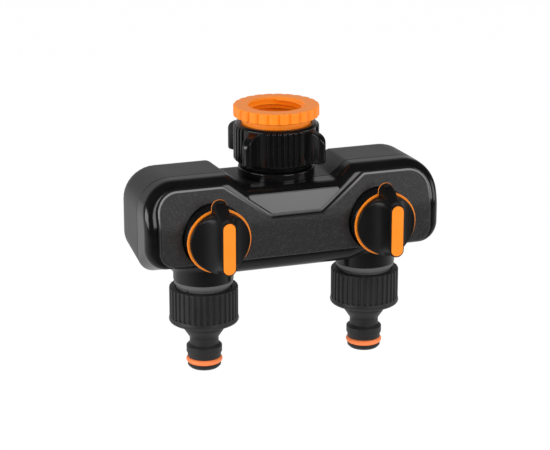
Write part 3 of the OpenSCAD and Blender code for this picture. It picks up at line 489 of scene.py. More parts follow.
def ringOfCopiesTree():
    inputs = [
        ("Core", "Geometry"), ("Copy", "Object"), ("Count", "Int"), ("Turn", "Float"), ("Finish", "Material"),
    ]
    tree, bench, wires = newTree("ringOfCopies", inputs)
    points = bench.add("GeometryNodePoints", {}, {"Count": wires["Count"]})
    index = bench.add("GeometryNodeInputIndex")
    angle = index * (2 * pi) / wires["Count"] + wires["Turn"]
    rotation = bench.add("ShaderNodeCombineXYZ", {}, {"Z": angle})
    copy = copyOf(bench, wires)
    placed = bench.add(
        "GeometryNodeInstanceOnPoints", {}, {"Points": points, "Instance": copy, "Rotation": rotation}
    )
    both = bench.add("GeometryNodeJoinGeometry", {}, {"Geometry": [wires["Core"], placed]})
    endTree(tree, bench, both, wires["Finish"])
    return tree


def copiesAtSitesTree():
    inputs = [("Sites", "Geometry"), ("Copy", "Object"), ("Finish", "Material")]
    tree, bench, wires = newTree("copiesAtSites", inputs)
    copy = copyOf(bench, wires)
    placed = bench.add("GeometryNodeInstanceOnPoints", {}, {"Points": wires["Sites"], "Instance": copy})
    endTree(tree, bench, placed, wires["Finish"])
    return tree


# corners of a thread's section, as shares of its pitch and its depth
threadSection = {
    "Point 1": (-0.42, -0.15), "Point 2": (-0.1, 1.0), "Point 3": (0.1, 1.0), "Point 4": (0.42, -0.15),
}
thread = {"steps": 72, "runIn": 0.25}        # per turn, and the turns in which a ridge rises


def threadTree():
    numbers = ("Radius", "Depth", "Pitch", "Turns", "Foot")
    inputs = [("Blank", "Geometry")] + [(name, "Float") for name in numbers] + [("Finish", "Material")]
    tree, bench, wires = newTree("threadRidge", inputs)
    coil = bench.add("GeometryNodeCurveSpiral", {}, {
        "Resolution": thread["steps"], "Rotations": wires["Turns"], "Start Radius": wires["Radius"],
        "End Radius": wires["Radius"], "Height": wires["Pitch"] * wires["Turns"], "Reverse": True,
    })
    upright = bench.add("GeometryNodeSetCurveNormal", {"mode": "Z_UP"}, {"Curve": coil})
    along = bench.add("GeometryNodeSplineParameter", out="Factor")
    fromEnd = along.least(1.0 - along) * wires["Turns"] / thread["runIn"]
    tapered = bench.add("GeometryNodeSetCurveRadius", {}, {"Curve": upright, "Radius": fromEnd.clamped()})
    corner = {}
    for name, (across, deep) in threadSection.items():
        place = {"X": wires["Depth"] * deep, "Y": wires["Pitch"] * across}
        corner[name] = bench.add("ShaderNodeCombineXYZ", {}, place)
    section = bench.add("GeometryNodeCurvePrimitiveQuadrilateral", {"mode": "POINTS"}, corner)
    ridge = bench.add(
        "GeometryNodeCurveToMesh", {}, {"Curve": tapered, "Profile Curve": section, "Fill Caps": True}
    )
    lift = bench.add("ShaderNodeCombineXYZ", {}, {"Z": wires["Foot"]})
    placed = bench.add("GeometryNodeTransform", {}, {"Geometry": ridge, "Translation": lift})
    both = bench.add("GeometryNodeJoinGeometry", {}, {"Geometry": [wires["Blank"], placed]})
    endTree(tree, bench, both, wires["Finish"])
    return tree


# a scallop as shares of its pitch: the pad that stays, the hollow's half-width and its bow
flute = {"pad": 0.18, "half": 0.32, "bow": 1.8}
wholeTurns = 100.0        # keeps a turn positive before its fraction is taken


def scallopTree():
    inputs = [
        ("Blank", "Geometry"), ("Count", "Int"), ("Depth", "Float"), ("Inner", "Float"), ("Outer", "Float"),
        ("Finish", "Material"),
    ]
    tree, bench, wires = newTree("scallopedRim", inputs)
    place = bench.add("GeometryNodeInputPosition")
    x = bench.add("ShaderNodeSeparateXYZ", {}, {"Vector": place}, out="X")
    y = bench.add("ShaderNodeSeparateXYZ", {}, {"Vector": place}, out="Y")
    radius = (x * x + y * y) ** 0.5
    turn = bench.add("ShaderNodeMath", {"operation": "ARCTAN2"}, {0: y, 1: x}) / (2 * pi) * wires["Count"]
    phase = bench.add("ShaderNodeMath", {"operation": "FRACT"}, {0: turn + wholeTurns})
    fromPad = bench.add("ShaderNodeMath", {"operation": "ABSOLUTE"}, {0: phase - 0.5})
    hollow = ((fromPad - flute["pad"]) / flute["half"]).most(0.0) ** flute["bow"]
    outward = ((radius - wires["Inner"]) / (wires["Outer"] - wires["Inner"])).clamped()
    share = 0.0 - hollow * outward * wires["Depth"] / radius
    shift = bench.add("ShaderNodeCombineXYZ", {}, {"X": x * share, "Y": y * share})
    shaped = bench.add("GeometryNodeSetPosition", {}, {"Geometry": wires["Blank"], "Offset": shift})
    endTree(tree, bench, shaped, wires["Finish"])
    return tree


trees = {
    "ringOfCopies": ringOfCopiesTree(),
    "copiesAtSites": copiesAtSitesTree(),
    "threadRidge": threadTree(),
    "scallopedRim": scallopTree(),
}


def shapedBy(blank, treeName, values):
    step = blank.modifiers.new(treeName, "NODES")
    step.node_group = trees[treeName]
    for item in trees[treeName].interface.items_tree:
        if item.in_out == "INPUT" and item.name in values:
            step[item.identifier] = values[item.name]
    return settle(blank)


def ringOf(blank, copyMesh, count, turn, finish):
    # repeats a small shape round the blank's axis
    copy = bpy.data.objects.new("copy", copyMesh)
    scene.collection.objects.link(copy)
    shapedBy(blank, "ringOfCopies", {"Copy": copy, "Count": count, "Turn": turn, "Finish": made[finish]})
    removeObject(copy)
    return blank


def threaded(blank, finish, radius, depth, pitch, turns, foot):
    shapedBy(blank, "threadRidge", {
        "Radius": radius, "Depth": depth, "Pitch": pitch, "Turns": turns, "Foot": foot,
        "Finish": made[finish],
    })
    bm = bmesh.new()
    bm.from_mesh(blank.data)
    bmesh.ops.recalc_face_normals(bm, faces=bm.faces)
    bm.to_mesh(blank.data)
    bm.free()
    return blank


print("trees:", ", ".join(trees))


# Camera, light and floor

view = {
    "lens": 135.6, "sensor": 36.0, "near": 0.05,
    "place": (-0.3125, -0.9007, 0.2479), "aim": (-0.0006, 0.0, -0.0589),
}
lamps = [
    {"name": "leftBox", "place": (-1.0, -0.2, 0.16), "size": (0.8, 0.4), "power": 5.0},
    {"name": "frontBox", "place": (0.4, -1.1, 0.34), "size": (0.6, 0.5), "power": 3.6},
    {"name": "rightBox", "place": (1.0, -0.45, 0.1), "size": (0.6, 0.4), "power": 1.6},
]
# gloss sees a pale table and a dim room behind the part, and a dark side towards the camera
studio = {
    "floor": -0.36, "span": 12.0, "roomLight": 0.8, "white": 1.06, "shadowShare": 0.2,
    "aim": (0.0, 0.0, -0.05), "paper": (0.9, 0.9, 0.9, 1.0), "clear": (1.0, 1.0, 1.0, 1.0),
    "roomGloss": {"behind": 0.42, "ahead": 0.03, "start": 0.35, "over": 0.5},
    "tableGloss": {"behind": 0.66, "ahead": 0.03, "start": -0.95, "over": 1.0},
}


def aimAt(thing, target):
    away = Vector(target) - thing.location
    thing.rotation_euler = away.to_track_quat("-Z", "Y").to_euler()


camera = bpy.data.objects.new("camera", bpy.data.cameras.new("camera"))
camera.data.lens = view["lens"]
camera.data.sensor_width = view["sensor"]
camera.data.sensor_fit = "HORIZONTAL"
camera.data.clip_start = view["near"]
camera.location = view["place"]
aimAt(camera, view["aim"])
scene.collection.objects.link(camera)
scene.camera = camera
scene.view_settings.view_transform = "Standard"

for facts in lamps:
    light = bpy.data.lights.new(facts["name"], "AREA")
    light.shape = "RECTANGLE"
    light.size, light.size_y = facts["size"]
    light.energy = facts["power"]
    lamp = bpy.data.objects.new(facts["name"], light)
    lamp.location = facts["place"]
    aimAt(lamp, studio["aim"])
    scene.collection.objects.link(lamp)


def rayKinds(bench):
    # rays that show the background itself, and rays that come off gloss
    path = bench.tree.nodes.new("ShaderNodeLightPath")
    direct, gloss, through = [
        Wire(bench, path.outputs[name]) for name in ("Is Camera Ray", "Is Glossy Ray", "Is Transmission Ray")
    ]
    return (direct + through).clamped(), gloss


def glossLevel(bench, behind, ahead, start, over):
    # grows with the distance of a place or a direction behind the part
    place = bench.add("ShaderNodeTexCoord", out="Object")
    depth = bench.add("ShaderNodeSeparateXYZ", {}, {"Vector": place}, out="Y")
    return ((depth - start) / over).clamped() * (behind - ahead) + ahead


world = bpy.data.worlds.new("studio")
scene.world = world
world.use_nodes = True
worldBench = Bench(world.node_tree)
world.node_tree.nodes.clear()
seen, gloss = rayKinds(worldBench)
shown = seen * studio["white"] + gloss * glossLevel(worldBench, **studio["roomGloss"])
lit = (1.0 - seen) * (1.0 - gloss) * studio["roomLight"]
room = worldBench.add("ShaderNodeBackground", {}, {"Color": studio["clear"], "Strength": shown + lit})
worldEnd = world.node_tree.nodes.new("ShaderNodeOutputWorld")
worldBench.plug(worldEnd.inputs["Surface"], room)

floorFinish = bpy.data.materials.new("paleFloor")
floorFinish.use_nodes = True
floorFinish.node_tree.nodes.clear()
floorBench = Bench(floorFinish.node_tree)
seen, gloss = rayKinds(floorBench)
shown = seen * studio["white"] + gloss * glossLevel(floorBench, **studio["tableGloss"])
matt = floorBench.add("ShaderNodeBsdfDiffuse", {}, {"Color": studio["paper"]})
glow = floorBench.add("ShaderNodeEmission", {}, {"Color": studio["clear"], "Strength": shown})
share = seen * (1.0 - studio["shadowShare"]) + gloss
floorMix = floorBench.add("ShaderNodeMixShader", {}, {0: share, 1: matt, 2: glow})
floorEnd = floorFinish.node_tree.nodes.new("ShaderNodeOutputMaterial")
floorBench.plug(floorEnd.inputs["Surface"], floorMix)
floorMesh = bmesh.new()
bmesh.ops.create_grid(floorMesh, x_segments=4, y_segments=4, size=studio["span"] / 2)
floor = workObject(floorMesh, "floor")
floor.data.transform(Matrix.Translation((0, 0, studio["floor"])))
floor.data.materials.append(floorFinish)
print("studio: camera, floor and", len(lamps), "lamps")


# Housing

housing = {
    "halfWidth": 73.0, "podTop": -25.5, "bridgeTop": -32.3, "foot": -66.1, "belly": -72.0,
    "valleyTop": 30.5, "valleyFoot": 22.0, "bellyFlat": 28.0, "bellyEnd": 46.0,
    "front": -29.0, "joint": -13.1, "back": 19.5, "knee": -45.5, "lean": 0.35, "kneeSoft": 3.5,
    "keel": 4.3, "keelFront": -25.0, "keelRise": 2.0, "keelLess": 2.0,
    "leanFrom": -15.1, "leanCuts": 5,
    "topBend": 15.5, "lowBend": 10.0, "valleyBend": 3.0, "rootBend": 3.5, "bellyBend": 6.5,
    "bellyEndBend": 8.0, "bellyLeast": 0.2, "bellyShare": 0.15,
    "frontEdge": 4.0, "frontLow": 2.2, "frontBelly": 6.5, "bendLess": 4.0,
    "backSide": 6.0, "backTop": 8.0, "backLow": 10.0, "backBridge": 5.0, "backDepth": 10.0,
    "topDraft": 0.9, "topLess": 3.5, "sideDraft": 0.2, "bellyBack": 2.0, "bellySlope": 0.554,
    "backBelly": 7.0, "rearStations": (-7.0, -2.0, 1.0, 3.0, 6.0), "frontDepths": (6.5, 5.4, 4.3),
    "hollowPast": 1.0, "bossEdge": 0.3, "skirtEdge": 0.35, "skirtSink": 0.02, "skirtRise": 3.0,
    "wall": 2.4, "seam": 0.3, "seamGap": 0.04, "outletX": 41.0, "valveZ": -50.7, "bonnetHole": 15.3,
    "bossRadius": 18.8, "bossTop": -32.35, "bossLow": -37.3, "spigotHole": 18.0, "tubeHole": 12.05,
    "skirtRadius": 14.4, "skirtEnd": -76.8, "skirtBlend": 3.8, "skirtCut": -28.6,
    "screwSeat": -6.1, "screwHole": 3.3, "post": 4.5,
    "steps": 10,
}
screwSites = [(62.5, -36.9), (62.5, -57.5), (21.8, -37.9)]
skirtSlope = {"front": -0.361, "rear": 0.0885}
# how far the forms that cut the shells reach
cutter = {
    "front": -80.0, "back": 60.0, "width": 400.0, "boreFrom": 5.0, "boreTo": 50.0, "postFrom": -40.0,
    "postTo": 20.0, "spigotDeep": 6.0, "spigotOver": 3.0, "tubeUnder": 2.0, "tubeDeep": 6.0,
}


def leanAt(z):
    # how far the front leans back at a height, with a soft bend at the knee
    rise = z - housing["knee"]
    soft = housing["kneeSoft"]
    if rise <= -soft:
        return 0.0
    if rise >= soft:
        return housing["lean"] * rise
    return housing["lean"] * (rise + soft) ** 2 / (4 * soft)


def leanSlope(z):
    soft = housing["kneeSoft"]
    return housing["lean"] * min(1.0, max(0.0, (z - housing["knee"] + soft) / (2 * soft)))


def leanedBack(bm, cuts):
    # cuts a form across the knee and leans back what stands over it
    soft = housing["kneeSoft"]
    for k in range(cuts):
        level = housing["knee"] + soft * (2 * k / (cuts - 1) - 1)
        bmesh.ops.bisect_plane(
            bm, geom=bm.verts[:] + bm.edges[:] + bm.faces[:], dist=mergeDistance,
            plane_co=(0, 0, level), plane_no=(0, 0, 1),
        )
    for vert in bm.verts:
        if vert.co.y < housing["leanFrom"]:
            vert.co.y += leanAt(vert.co.z)
    return finished(bm)


def housingRing(side, top, low, belly, bridge, topLess, lowLess):
    h = housing
    corners = bothSides([
        (h["halfWidth"], h["foot"], h["lowBend"] - lowLess),
        (h["halfWidth"], h["podTop"], h["topBend"] - topLess),
        (h["valleyTop"], h["podTop"], h["valleyBend"]), (h["valleyFoot"], h["bridgeTop"], h["rootBend"]),
    ])
    ring = drawnIn(corners, [low, side, top, top, bridge, top, top, side])
    foot = ring[0][1]
    bellyZ = min(h["belly"] + belly, foot - h["bellyLeast"])
    # the belly's flanks keep their slope, so they end where they meet the keel
    share = min(1.0, max(h["bellyShare"], (foot - bellyZ) / (h["foot"] - h["belly"])))
    end = h["bellyFlat"] + (h["bellyEnd"] - h["bellyFlat"]) * share
    ring[1:1] = [
        (-end, foot, h["bellyEndBend"]), (-h["bellyFlat"], bellyZ, h["bellyBend"]),
        (h["bellyFlat"], bellyZ, h["bellyBend"]), (end, foot, h["bellyEndBend"]),
    ]
    return rounded(ring, h["steps"])


def frontForm(wall):
    # the housing from its joint forwards, built upright and then leaned back above the knee
    h = housing
    face = h["front"] + wall
    edge = h["frontEdge"] - wall / 2
    depths = list(h["frontDepths"]) + [behind for draw, behind in edgeSteps(edge, 9)]
    rings = []
    starts = [(h["joint"], h["seam"]), (h["joint"] - h["seam"], 0.0)]
    if wall:
        starts = [(h["joint"] + h["hollowPast"], 0.0)]
    for y, tuck in starts:
        draw = wall + tuck
        ring = housingRing(draw, draw, draw - h["keel"], draw, draw, wall / 2, wall / 2 + h["keelLess"])
        rings.append(atDepth(ring, y))
    for behind in depths:
        y = face + behind
        keel = max(0.0, (y - h["keelFront"]) / (h["joint"] - h["keelFront"]))
        draw = wall + roundIn(edge, edge, behind)
        low = wall - h["keel"] * keel + roundIn(h["frontLow"], edge, behind)
        belly = wall + roundIn(h["frontBelly"] - wall / 2, h["frontBelly"] - wall / 2, behind)
        less = wall / 2 + (h["bendLess"] - wall / 2) * roundIn(1.0, edge, behind)
        ring = housingRing(draw, draw, low, belly, draw, less, less + h["keelLess"] * keel)
        rings.append(atDepth(ring, y))
    return leanedBack(lofted(rings), h["leanCuts"])


def rearForm(wall):
    h = housing
    first = h["back"] - h["backDepth"]
    stations = [h["joint"] + h["seam"], *h["rearStations"]]
    stations += [first + h["backDepth"] * sin(radians(a)) - wall for a in range(0, 91, 9)]
    rings = []
    tucks = [(h["joint"], h["seam"])]
    if wall:
        tucks = []
        stations[0] = h["joint"] - h["hollowPast"]
    for y, tuck in tucks:
        ring = housingRing(tuck, tuck, tuck - h["keel"], tuck, tuck, 0.0, h["keelLess"])
        rings.append(atDepth(ring, y))
    for y in stations:
        part = min(1.0, max(0.0, (y - h["joint"]) / (first - h["joint"])))
        behind = h["back"] - wall - y
        grow = roundIn(1.0, h["backDepth"], behind)
        slope = h["bellySlope"] * max(0.0, y - h["bellyBack"])
        side = wall + h["sideDraft"] * part + h["backSide"] * grow
        top = wall + h["topDraft"] * part + h["backTop"] * grow
        keel = h["keel"] - h["keelRise"] * part
        low = wall - keel + (h["backLow"] + keel) * grow
        belly = wall + slope + h["backBelly"] * grow
        bridge = wall + roundIn(h["backBridge"], h["backBridge"], behind)
        topLess = wall / 2 + h["topLess"] * grow
        lowLess = wall / 2 + h["keelLess"] * (1 - part) + h["bendLess"] * grow
        ring = housingRing(side, top, low, belly, bridge, topLess, lowLess)
        rings.append(atDepth(ring, y))
    return lofted(rings)


def skirtForm(side, shell):
    # the round skirt of an outlet, with a fillet that follows the slope of the keel on its half
    h = housing
    blend = h["skirtBlend"]
    keelZ = h["foot"] - h["keel"]
    radius, end = h["skirtRadius"], h["skirtEnd"]
    profile = [(0.0, end), (radius - h["skirtEdge"], end), (radius, end + h["skirtEdge"])]
    profile += [(radius + draw, keelZ - behind + h["skirtSink"]) for draw, behind in edgeSteps(blend, 9)]
    profile += [(radius + blend, keelZ + h["skirtRise"]), (0.0, keelZ + h["skirtRise"])]
    bm = turned(profile, facets["large"])
    way = -1 if shell == "front" else 1
    for vert in bm.verts:
        if vert.co.z > keelZ - blend:
            vert.co.z += skirtSlope[shell] * way * max(0.0, way * vert.co.y)
    skirt = workObject(shifted(bm, side * h["outletX"], h["joint"], 0))
    return formOut(worked(skirt, "DIFFERENCE", [slab(cutter["front"], h["skirtCut"])]))


def alongY(bm, x, z):
    # turns an upright form to point forwards, its height becoming distance in front of the inlet's axis
    turnOver = Matrix.Rotation(radians(90), 4, "X")
    return moved(bm, Matrix.Translation((x, 0, z)) @ turnOver)


def slab(y0, y1):
    bm = bmesh.new()
    bmesh.ops.create_cube(bm, size=1.0)
    size = Matrix.Diagonal((cutter["width"], y1 - y0, cutter["width"], 1.0))
    return moved(bm, Matrix.Translation((0, (y0 + y1) / 2, 0)) @ size)


def housingHoles():
    h = housing
    top, low = h["bridgeTop"], h["skirtEnd"]
    holes = [rod(h["spigotHole"], top - cutter["spigotDeep"], top + cutter["spigotOver"])]
    for side in sides.values():
        hole = rod(h["tubeHole"], low - cutter["tubeUnder"], h["foot"] + cutter["tubeDeep"])
        holes.append(shifted(hole, side * h["outletX"], h["joint"], 0))
    return holes


def bossForm():
    h = housing
    return rod(h["bossRadius"], h["bossLow"], h["bossTop"], h["bossEdge"], facets["large"])


def makeFrontShell():
    h = housing
    shell = workObject(frontForm(0.0))
    worked(shell, "UNION", [bossForm()] + [skirtForm(side, "front") for side in sides.values()])
    behind = slab(h["joint"] - h["seamGap"], cutter["back"])
    worked(shell, "DIFFERENCE", [behind, frontForm(h["wall"])] + housingHoles())
    for side in sides.values():
        bore = rod(h["bonnetHole"], cutter["boreFrom"], cutter["boreTo"])
        worked(shell, "DIFFERENCE", [alongY(bore, side * h["outletX"], h["valveZ"])])
    addPiece("front_shell_skin", meshOut(shell), "housing", "glossShell", ["front_shell"])


def makeRearCover():
    h = housing
    cover = workObject(rearForm(0.0))
    worked(cover, "UNION", [bossForm()] + [skirtForm(side, "rear") for side in sides.values()])
    hollow = workObject(rearForm(h["wall"]))
    sites = [(side * x, z) for side in sides.values() for x, z in screwSites]
    for x, z in sites:
        post = rod(h["post"], cutter["postFrom"], cutter["postTo"], 0, facets["small"])
        worked(hollow, "DIFFERENCE", [alongY(post, x, z)])
    ahead = slab(cutter["front"], h["joint"] + h["seamGap"])
    worked(cover, "DIFFERENCE", [ahead, formOut(hollow)] + housingHoles())
    for x, z in sites:
        bore = rod(h["screwHole"], cutter["postFrom"], -h["screwSeat"], 0, facets["small"])
        worked(cover, "DIFFERENCE", [alongY(bore, x, z)])
    addPiece("rear_cover_skin", meshOut(cover), "housing", "satinShell", ["rear_cover"])


makeFrontShell()
makeRearCover()
print("housing: two shells")


# Front plates

plates = {
    "face": -29.0, "fasciaProud": 3.0, "panelProud": 1.2, "rim": 0.9, "panelEdge": 0.45, "rimBand": 0.25,
    "holeFlare": 0.8, "holeMargin": 0.1, "holeFrom": 5.0, "holeTo": 60.0, "steps": 8, "leanCuts": 6,
    # the last two set how far behind the face and over what height above the knee the painted highlight on
    # the rim reaches
    "leastBend": 0.15, "leastBehind": 0.02, "flush": 0.03, "highlightDepth": 0.5, "highlightOver": 12.0,
}
fasciaOutline = bothSides([(67.3, -63.9, 7.0), (67.3, -28.8, 10.0), (34.8, -28.8, 3.0), (12.5, -44.8, 2.0)])
panelOutline = bothSides([(12.06, -43.4, 1.5), (24.6, -34.4, 1.0)])


def insetOutline(corners, distance, steps):
    # an outline moved in all round; outer corners tighten and inner ones open
    count = len(corners)
    ring = []
    for i, (x, y, bend) in enumerate(drawnIn(corners, [distance] * count)):
        a, b, c = corners[i - 1], corners[i], corners[(i + 1) % count]
        outer = (b[0] - a[0]) * (c[1] - b[1]) - (b[1] - a[1]) * (c[0] - b[0]) > 0
        ring.append((x, y, max(plates["leastBend"], bend - distance if outer else bend + distance)))
    return rounded(ring, steps)


def plateForm(corners, proud, edge):
    p = plates
    face = p["face"] - proud
    rings = [atDepth(insetOutline(corners, 0.0, p["steps"]), p["face"])]
    for draw, behind in edgeSteps(edge, 15):
        rings.append(atDepth(insetOutline(corners, draw, p["steps"]), face + max(behind, p["leastBehind"])))
    rings.append(atDepth(insetOutline(corners, edge + p["rimBand"], p["steps"]), face))
    return leanedBack(lofted(rings), p["leanCuts"])


def facedForward(piece, face):
    # gives the front of a plate the true normals of its bend, which cut faces would blur
    mesh = piece.data
    normals = []
    for loop in mesh.loops:
        place = mesh.vertices[loop.vertex_index].co * coordinateScale
        if place.y - leanAt(place.z) - face < plates["flush"]:
            normals.append(Vector((0.0, -1.0, leanSlope(place.z))).normalized())
        else:
            normals.append(mesh.corner_normals[loop.index].vector.copy())
    mesh.normals_split_custom_set(normals)


def makeFascia():
    h, p = housing, plates
    plate = workObject(plateForm(fasciaOutline, p["fasciaProud"], p["rim"]))
    face = p["fasciaProud"] - p["face"]
    radius, flare = h["bonnetHole"], p["holeFlare"]
    profile = [(0, p["holeFrom"]), (radius, p["holeFrom"])]
    profile += [(radius + draw, face - behind) for draw, behind in edgeSteps(flare, 15)]
    profile += [(radius + flare, p["holeTo"]), (0, p["holeTo"])]
    for side in sides.values():
        hole = turned(profile, facets["large"])
        worked(plate, "DIFFERENCE", [alongY(hole, side * h["outletX"], h["valveZ"])])
    mesh = meshOut(plate)
    rim, shine = [mesh.attributes.new(name, "FLOAT", "POINT") for name in ("rim", "shine")]
    for vert in mesh.vertices:
        x, y, z = vert.co
        depth = y - leanAt(z) + face
        fromHole = hypot(abs(x) - h["outletX"], z - h["valveZ"]) - radius - flare
        # a painted highlight: the rim just behind the face, clear of the holes, gets a pale colour that grows
        # higher above the knee, where more light falls
        lit = p["flush"] < depth < p["highlightDepth"] and fromHole >= p["holeMargin"]
        over = max(0.0, min(1.0, (z - h["knee"]) / p["highlightOver"]))
        rim.data[vert.index].value = 1.0 if depth > p["flush"] else 0.0
        shine.data[vert.index].value = over if lit else 0.0
    plate = addPiece("fascia", mesh, "housing", "sparkTextureWithHighlight", ["fascia_plate"], even=False)
    facedForward(plate, -face)


def makePanel():
    mesh = meshOf(plateForm(panelOutline, plates["panelProud"], plates["panelEdge"]))
    plate = addPiece("panel", mesh, "housing", "panelBlack", ["center_panel"], even=False)
    facedForward(plate, plates["face"] - plates["panelProud"])


makeFascia()
makePanel()
print("front plates: fascia and panel")


# Knobs

knob = {
    "dialBack": 37.2, "dialFront": 38.9, "discFront": 40.9, "crest": 54.0, "inlayFront": 54.3,
    "dialRadius": 15.4, "dialEdge": 0.3, "dialTuck": 0.9, "discRadius": 14.4, "discEdge": 0.55,
    "discTuck": 0.1, "discInset": 0.5, "lobeHalf": 3.8, "lobeReach": 20.0, "turnSteps": 96, "lobeSteps": 24,
    "crestHalf": 3.5, "crestStraight": 9.4, "crestEdge": 0.5, "rise": 0.7, "clip": 14.2, "scoop": 13.4,
    "hollow": 0.8, "ridgeSink": 0.4, "ridgeSteps": 160,
    "inlayHalf": 2.9, "inlayStraight": 9.3, "inlayEdge": 0.28, "inlayDepth": 1.0, "slotGap": 0.14,
    "slotDepth": 0.7, "hubHole": 9.65, "hubFrom": 30.0, "hubTo": 45.0,
    "beakTip": 19.4, "beakRoot": 12.4, "beakHalf": 3.3, "beakLeast": 0.02, "beakFoot": 1.0, "beakRise": 13.7,
    "beakBow": 1.15, "beakSink": 0.3, "beakSquare": 0.35, "beakSteps": 20, "beakSides": 16,
}
bonnetCap = {"bore": 5.1, "radius": 15.0, "back": 31.0, "front": 36.9, "edge": 0.5}


def lobedOutline(radius, half, reach, draw):
    # a disc with a round pointer lobe at its top
    radius, half, reach = radius - draw, half - draw, reach - draw
    meet = atan2(sqrt(radius * radius - half * half), half)
    points = []
    count = knob["turnSteps"]
    for k in range(count + 1):
        turn = meet - k * (pi + 2 * meet) / count
        points.append((radius * cos(turn), radius * sin(turn)))
    count = knob["lobeSteps"]
    for k in range(count + 1):
        turn = pi - k * pi / count
        points.append((half * cos(turn), reach - half + half * sin(turn)))
    return points[::-1]


def forward(points, away):
    # outline points in a knob's own plane, at a distance in front of the inlet's axis
    return atDepth(points, -away)


def stadium(straight, radius, limit=None):
    # points round a line of half-length straight, at a distance, held inside a circle about the knob's axis
    points = []
    rise, count = knob["rise"], knob["ridgeSteps"]
    for k in range(count):
        turn = 2 * pi * k / count
        dx, dy = cos(turn), sin(turn)
        reach = radius / max(abs(dx), 0.0001)
        if reach * abs(dy) > straight:
            reach = straight * abs(dy) + sqrt(max(0.0, radius * radius - (straight * dx) ** 2))
        if limit:
            reach = min(reach, sqrt(limit * limit - (rise * dx) ** 2) - rise * dy)
        points.append((reach * dx, rise + reach * dy))
    return points


def ridgeForm():
    k = knob
    straight, clip = k["crestStraight"], k["clip"]
    rings = [forward(stadium(straight, k["crestHalf"] + k["scoop"], clip), k["dialFront"] + k["ridgeSink"])]
    for a in range(90, 5, -3):
        # the hollow keeps close to the ridge, so that its wall stands steep over the disc
        radius = k["crestHalf"] + k["scoop"] * (1 - cos(radians(a)) ** k["hollow"])
        away = k["crest"] - k["scoop"] * sin(radians(a)) ** k["hollow"]
        rings.append(forward(stadium(straight, radius, clip), away))
    for draw, behind in edgeSteps(k["crestEdge"], 15):
        rings.append(forward(stadium(straight, k["crestHalf"] - draw), k["crest"] - behind))
    slot = stadium(k["inlayStraight"], k["inlayHalf"] + k["slotGap"])
    rings += [forward(slot, k["crest"]), forward(slot, k["crest"] - k["slotDepth"])]
    return lofted(rings)


def discForm():
    k = knob
    half, reach = k["lobeHalf"], k["lobeReach"]
    rings = [forward(lobedOutline(k["discRadius"], half, reach, k["discTuck"]), k["dialFront"])]
    for draw, behind in edgeSteps(k["discEdge"], 18):
        outline = lobedOutline(k["discRadius"], half - k["discInset"], reach - k["discInset"], draw)
        rings.append(forward(outline, k["discFront"] - behind))
    return lofted(rings)


def beakForm():
    # the ramp that runs from the ridge's end down to the pointer's tip
    k = knob
    rings = []
    lobe = k["lobeHalf"] - k["discInset"]
    low = k["dialFront"] + k["beakSink"]
    for i in range(k["beakSteps"] + 1):
        part = sin(pi / 2 * i / k["beakSteps"])
        v = k["beakRoot"] + (k["beakTip"] - k["beakRoot"]) * part
        high = k["dialFront"] + k["beakFoot"] + k["beakRise"] * (1 - part) ** k["beakBow"]
        past = max(0.0, v - k["lobeReach"] + k["lobeHalf"])
        half = min(k["beakHalf"], sqrt(max(k["beakLeast"], lobe * lobe - past * past)))
        turns = [pi * j / k["beakSides"] for j in range(k["beakSides"] + 1)]
        rings.append([
            (half * cos(turn), -(low + (high - low) * sin(turn) ** k["beakSquare"]), v) for turn in turns
        ])
    return lofted(rings)


def inlayForm():
    k = knob
    straight, half = k["inlayStraight"], k["inlayHalf"]
    rings = [forward(stadium(straight, half), k["inlayFront"] - k["inlayDepth"])]
    for draw, behind in edgeSteps(k["inlayEdge"], 18):
        rings.append(forward(stadium(straight, half - draw), k["inlayFront"] - behind))
    return lofted(rings)


def dialForm():
    k = knob
    shape = (k["dialRadius"], k["lobeHalf"], k["lobeReach"])
    rings = [forward(lobedOutline(*shape, k["dialTuck"]), k["dialBack"])]
    for draw, behind in edgeSteps(k["dialEdge"], 18):
        rings.append(forward(lobedOutline(*shape, draw), k["dialFront"] - behind))
    return lofted(rings)


def makeKnob(side):
    k, c = knob, bonnetCap
    x, z = sides[side] * housing["outletX"], housing["valveZ"]
    body = side + "_valve"
    grip = meshOut(worked(workObject(ridgeForm()), "UNION", [discForm(), beakForm()]))
    hub = alongY(rod(k["hubHole"], k["hubFrom"], k["hubTo"]), 0, 0)
    dial = meshOut(worked(workObject(dialForm()), "DIFFERENCE", [hub]))
    stripe = meshOf(inlayForm())
    for mesh in (grip, dial, stripe):
        mesh.transform(Matrix.Translation((x, 0, z)))
    addPiece(side + "_grip", grip, body, "knobBlack", [side + "_knob"], crease=38.0)
    addPiece(side + "_dial", dial, body, "warmOrange", [side + "_dial_ring"])
    addPiece(side + "_stripe", stripe, body, "warmOrange", [side + "_grip_inlay"])
    corners = [
        (c["bore"], c["back"], 0), (c["radius"], c["back"], 0), (c["radius"], c["front"], c["edge"]),
        (c["bore"], c["front"], 0),
    ]
    cap = meshOf(alongY(turned(rounded(corners), facets["large"]), x, z))
    addPiece(side + "_bonnet_cap", cap, "housing", "nutBlack", [side + "_bonnet"])


for side in sides:
    makeKnob(side)
print("knobs: two, with dials, stripes and bonnets")


# Inlet: reducer, swivel nut and collar

reducer = {
    "rim": 1.4, "flangeLow": -4.1, "radius": 20.5, "lip": 19.2, "edge": 0.5, "neck": 16.6, "neckLow": -7.3,
    "neckBevel": 0.4, "scallops": 24, "scallopDepth": 1.1, "scallopInner": 18.4, "scallopSteps": 16,
    "mouth": 13.75, "mouthDepth": 0.75, "boreEnd": -9.2, "washerTop": -9.6, "seat": -12.1, "recess": 12.85,
    "throat": 8.5, "end": -16.5,
}
boreThread = {"radius": 13.15, "depth": -1.1, "pitch": 1.814, "turns": 5.2, "foot": -9.4}
unionThread = {"radius": 15.4, "depth": 1.2, "pitch": 2.309, "turns": 3.6, "foot": -16.0}
gasket = {"bore": 8.5, "radius": 12.7, "low": -12.0, "top": -9.68, "lowEdge": 0.3, "topEdge": 0.5}


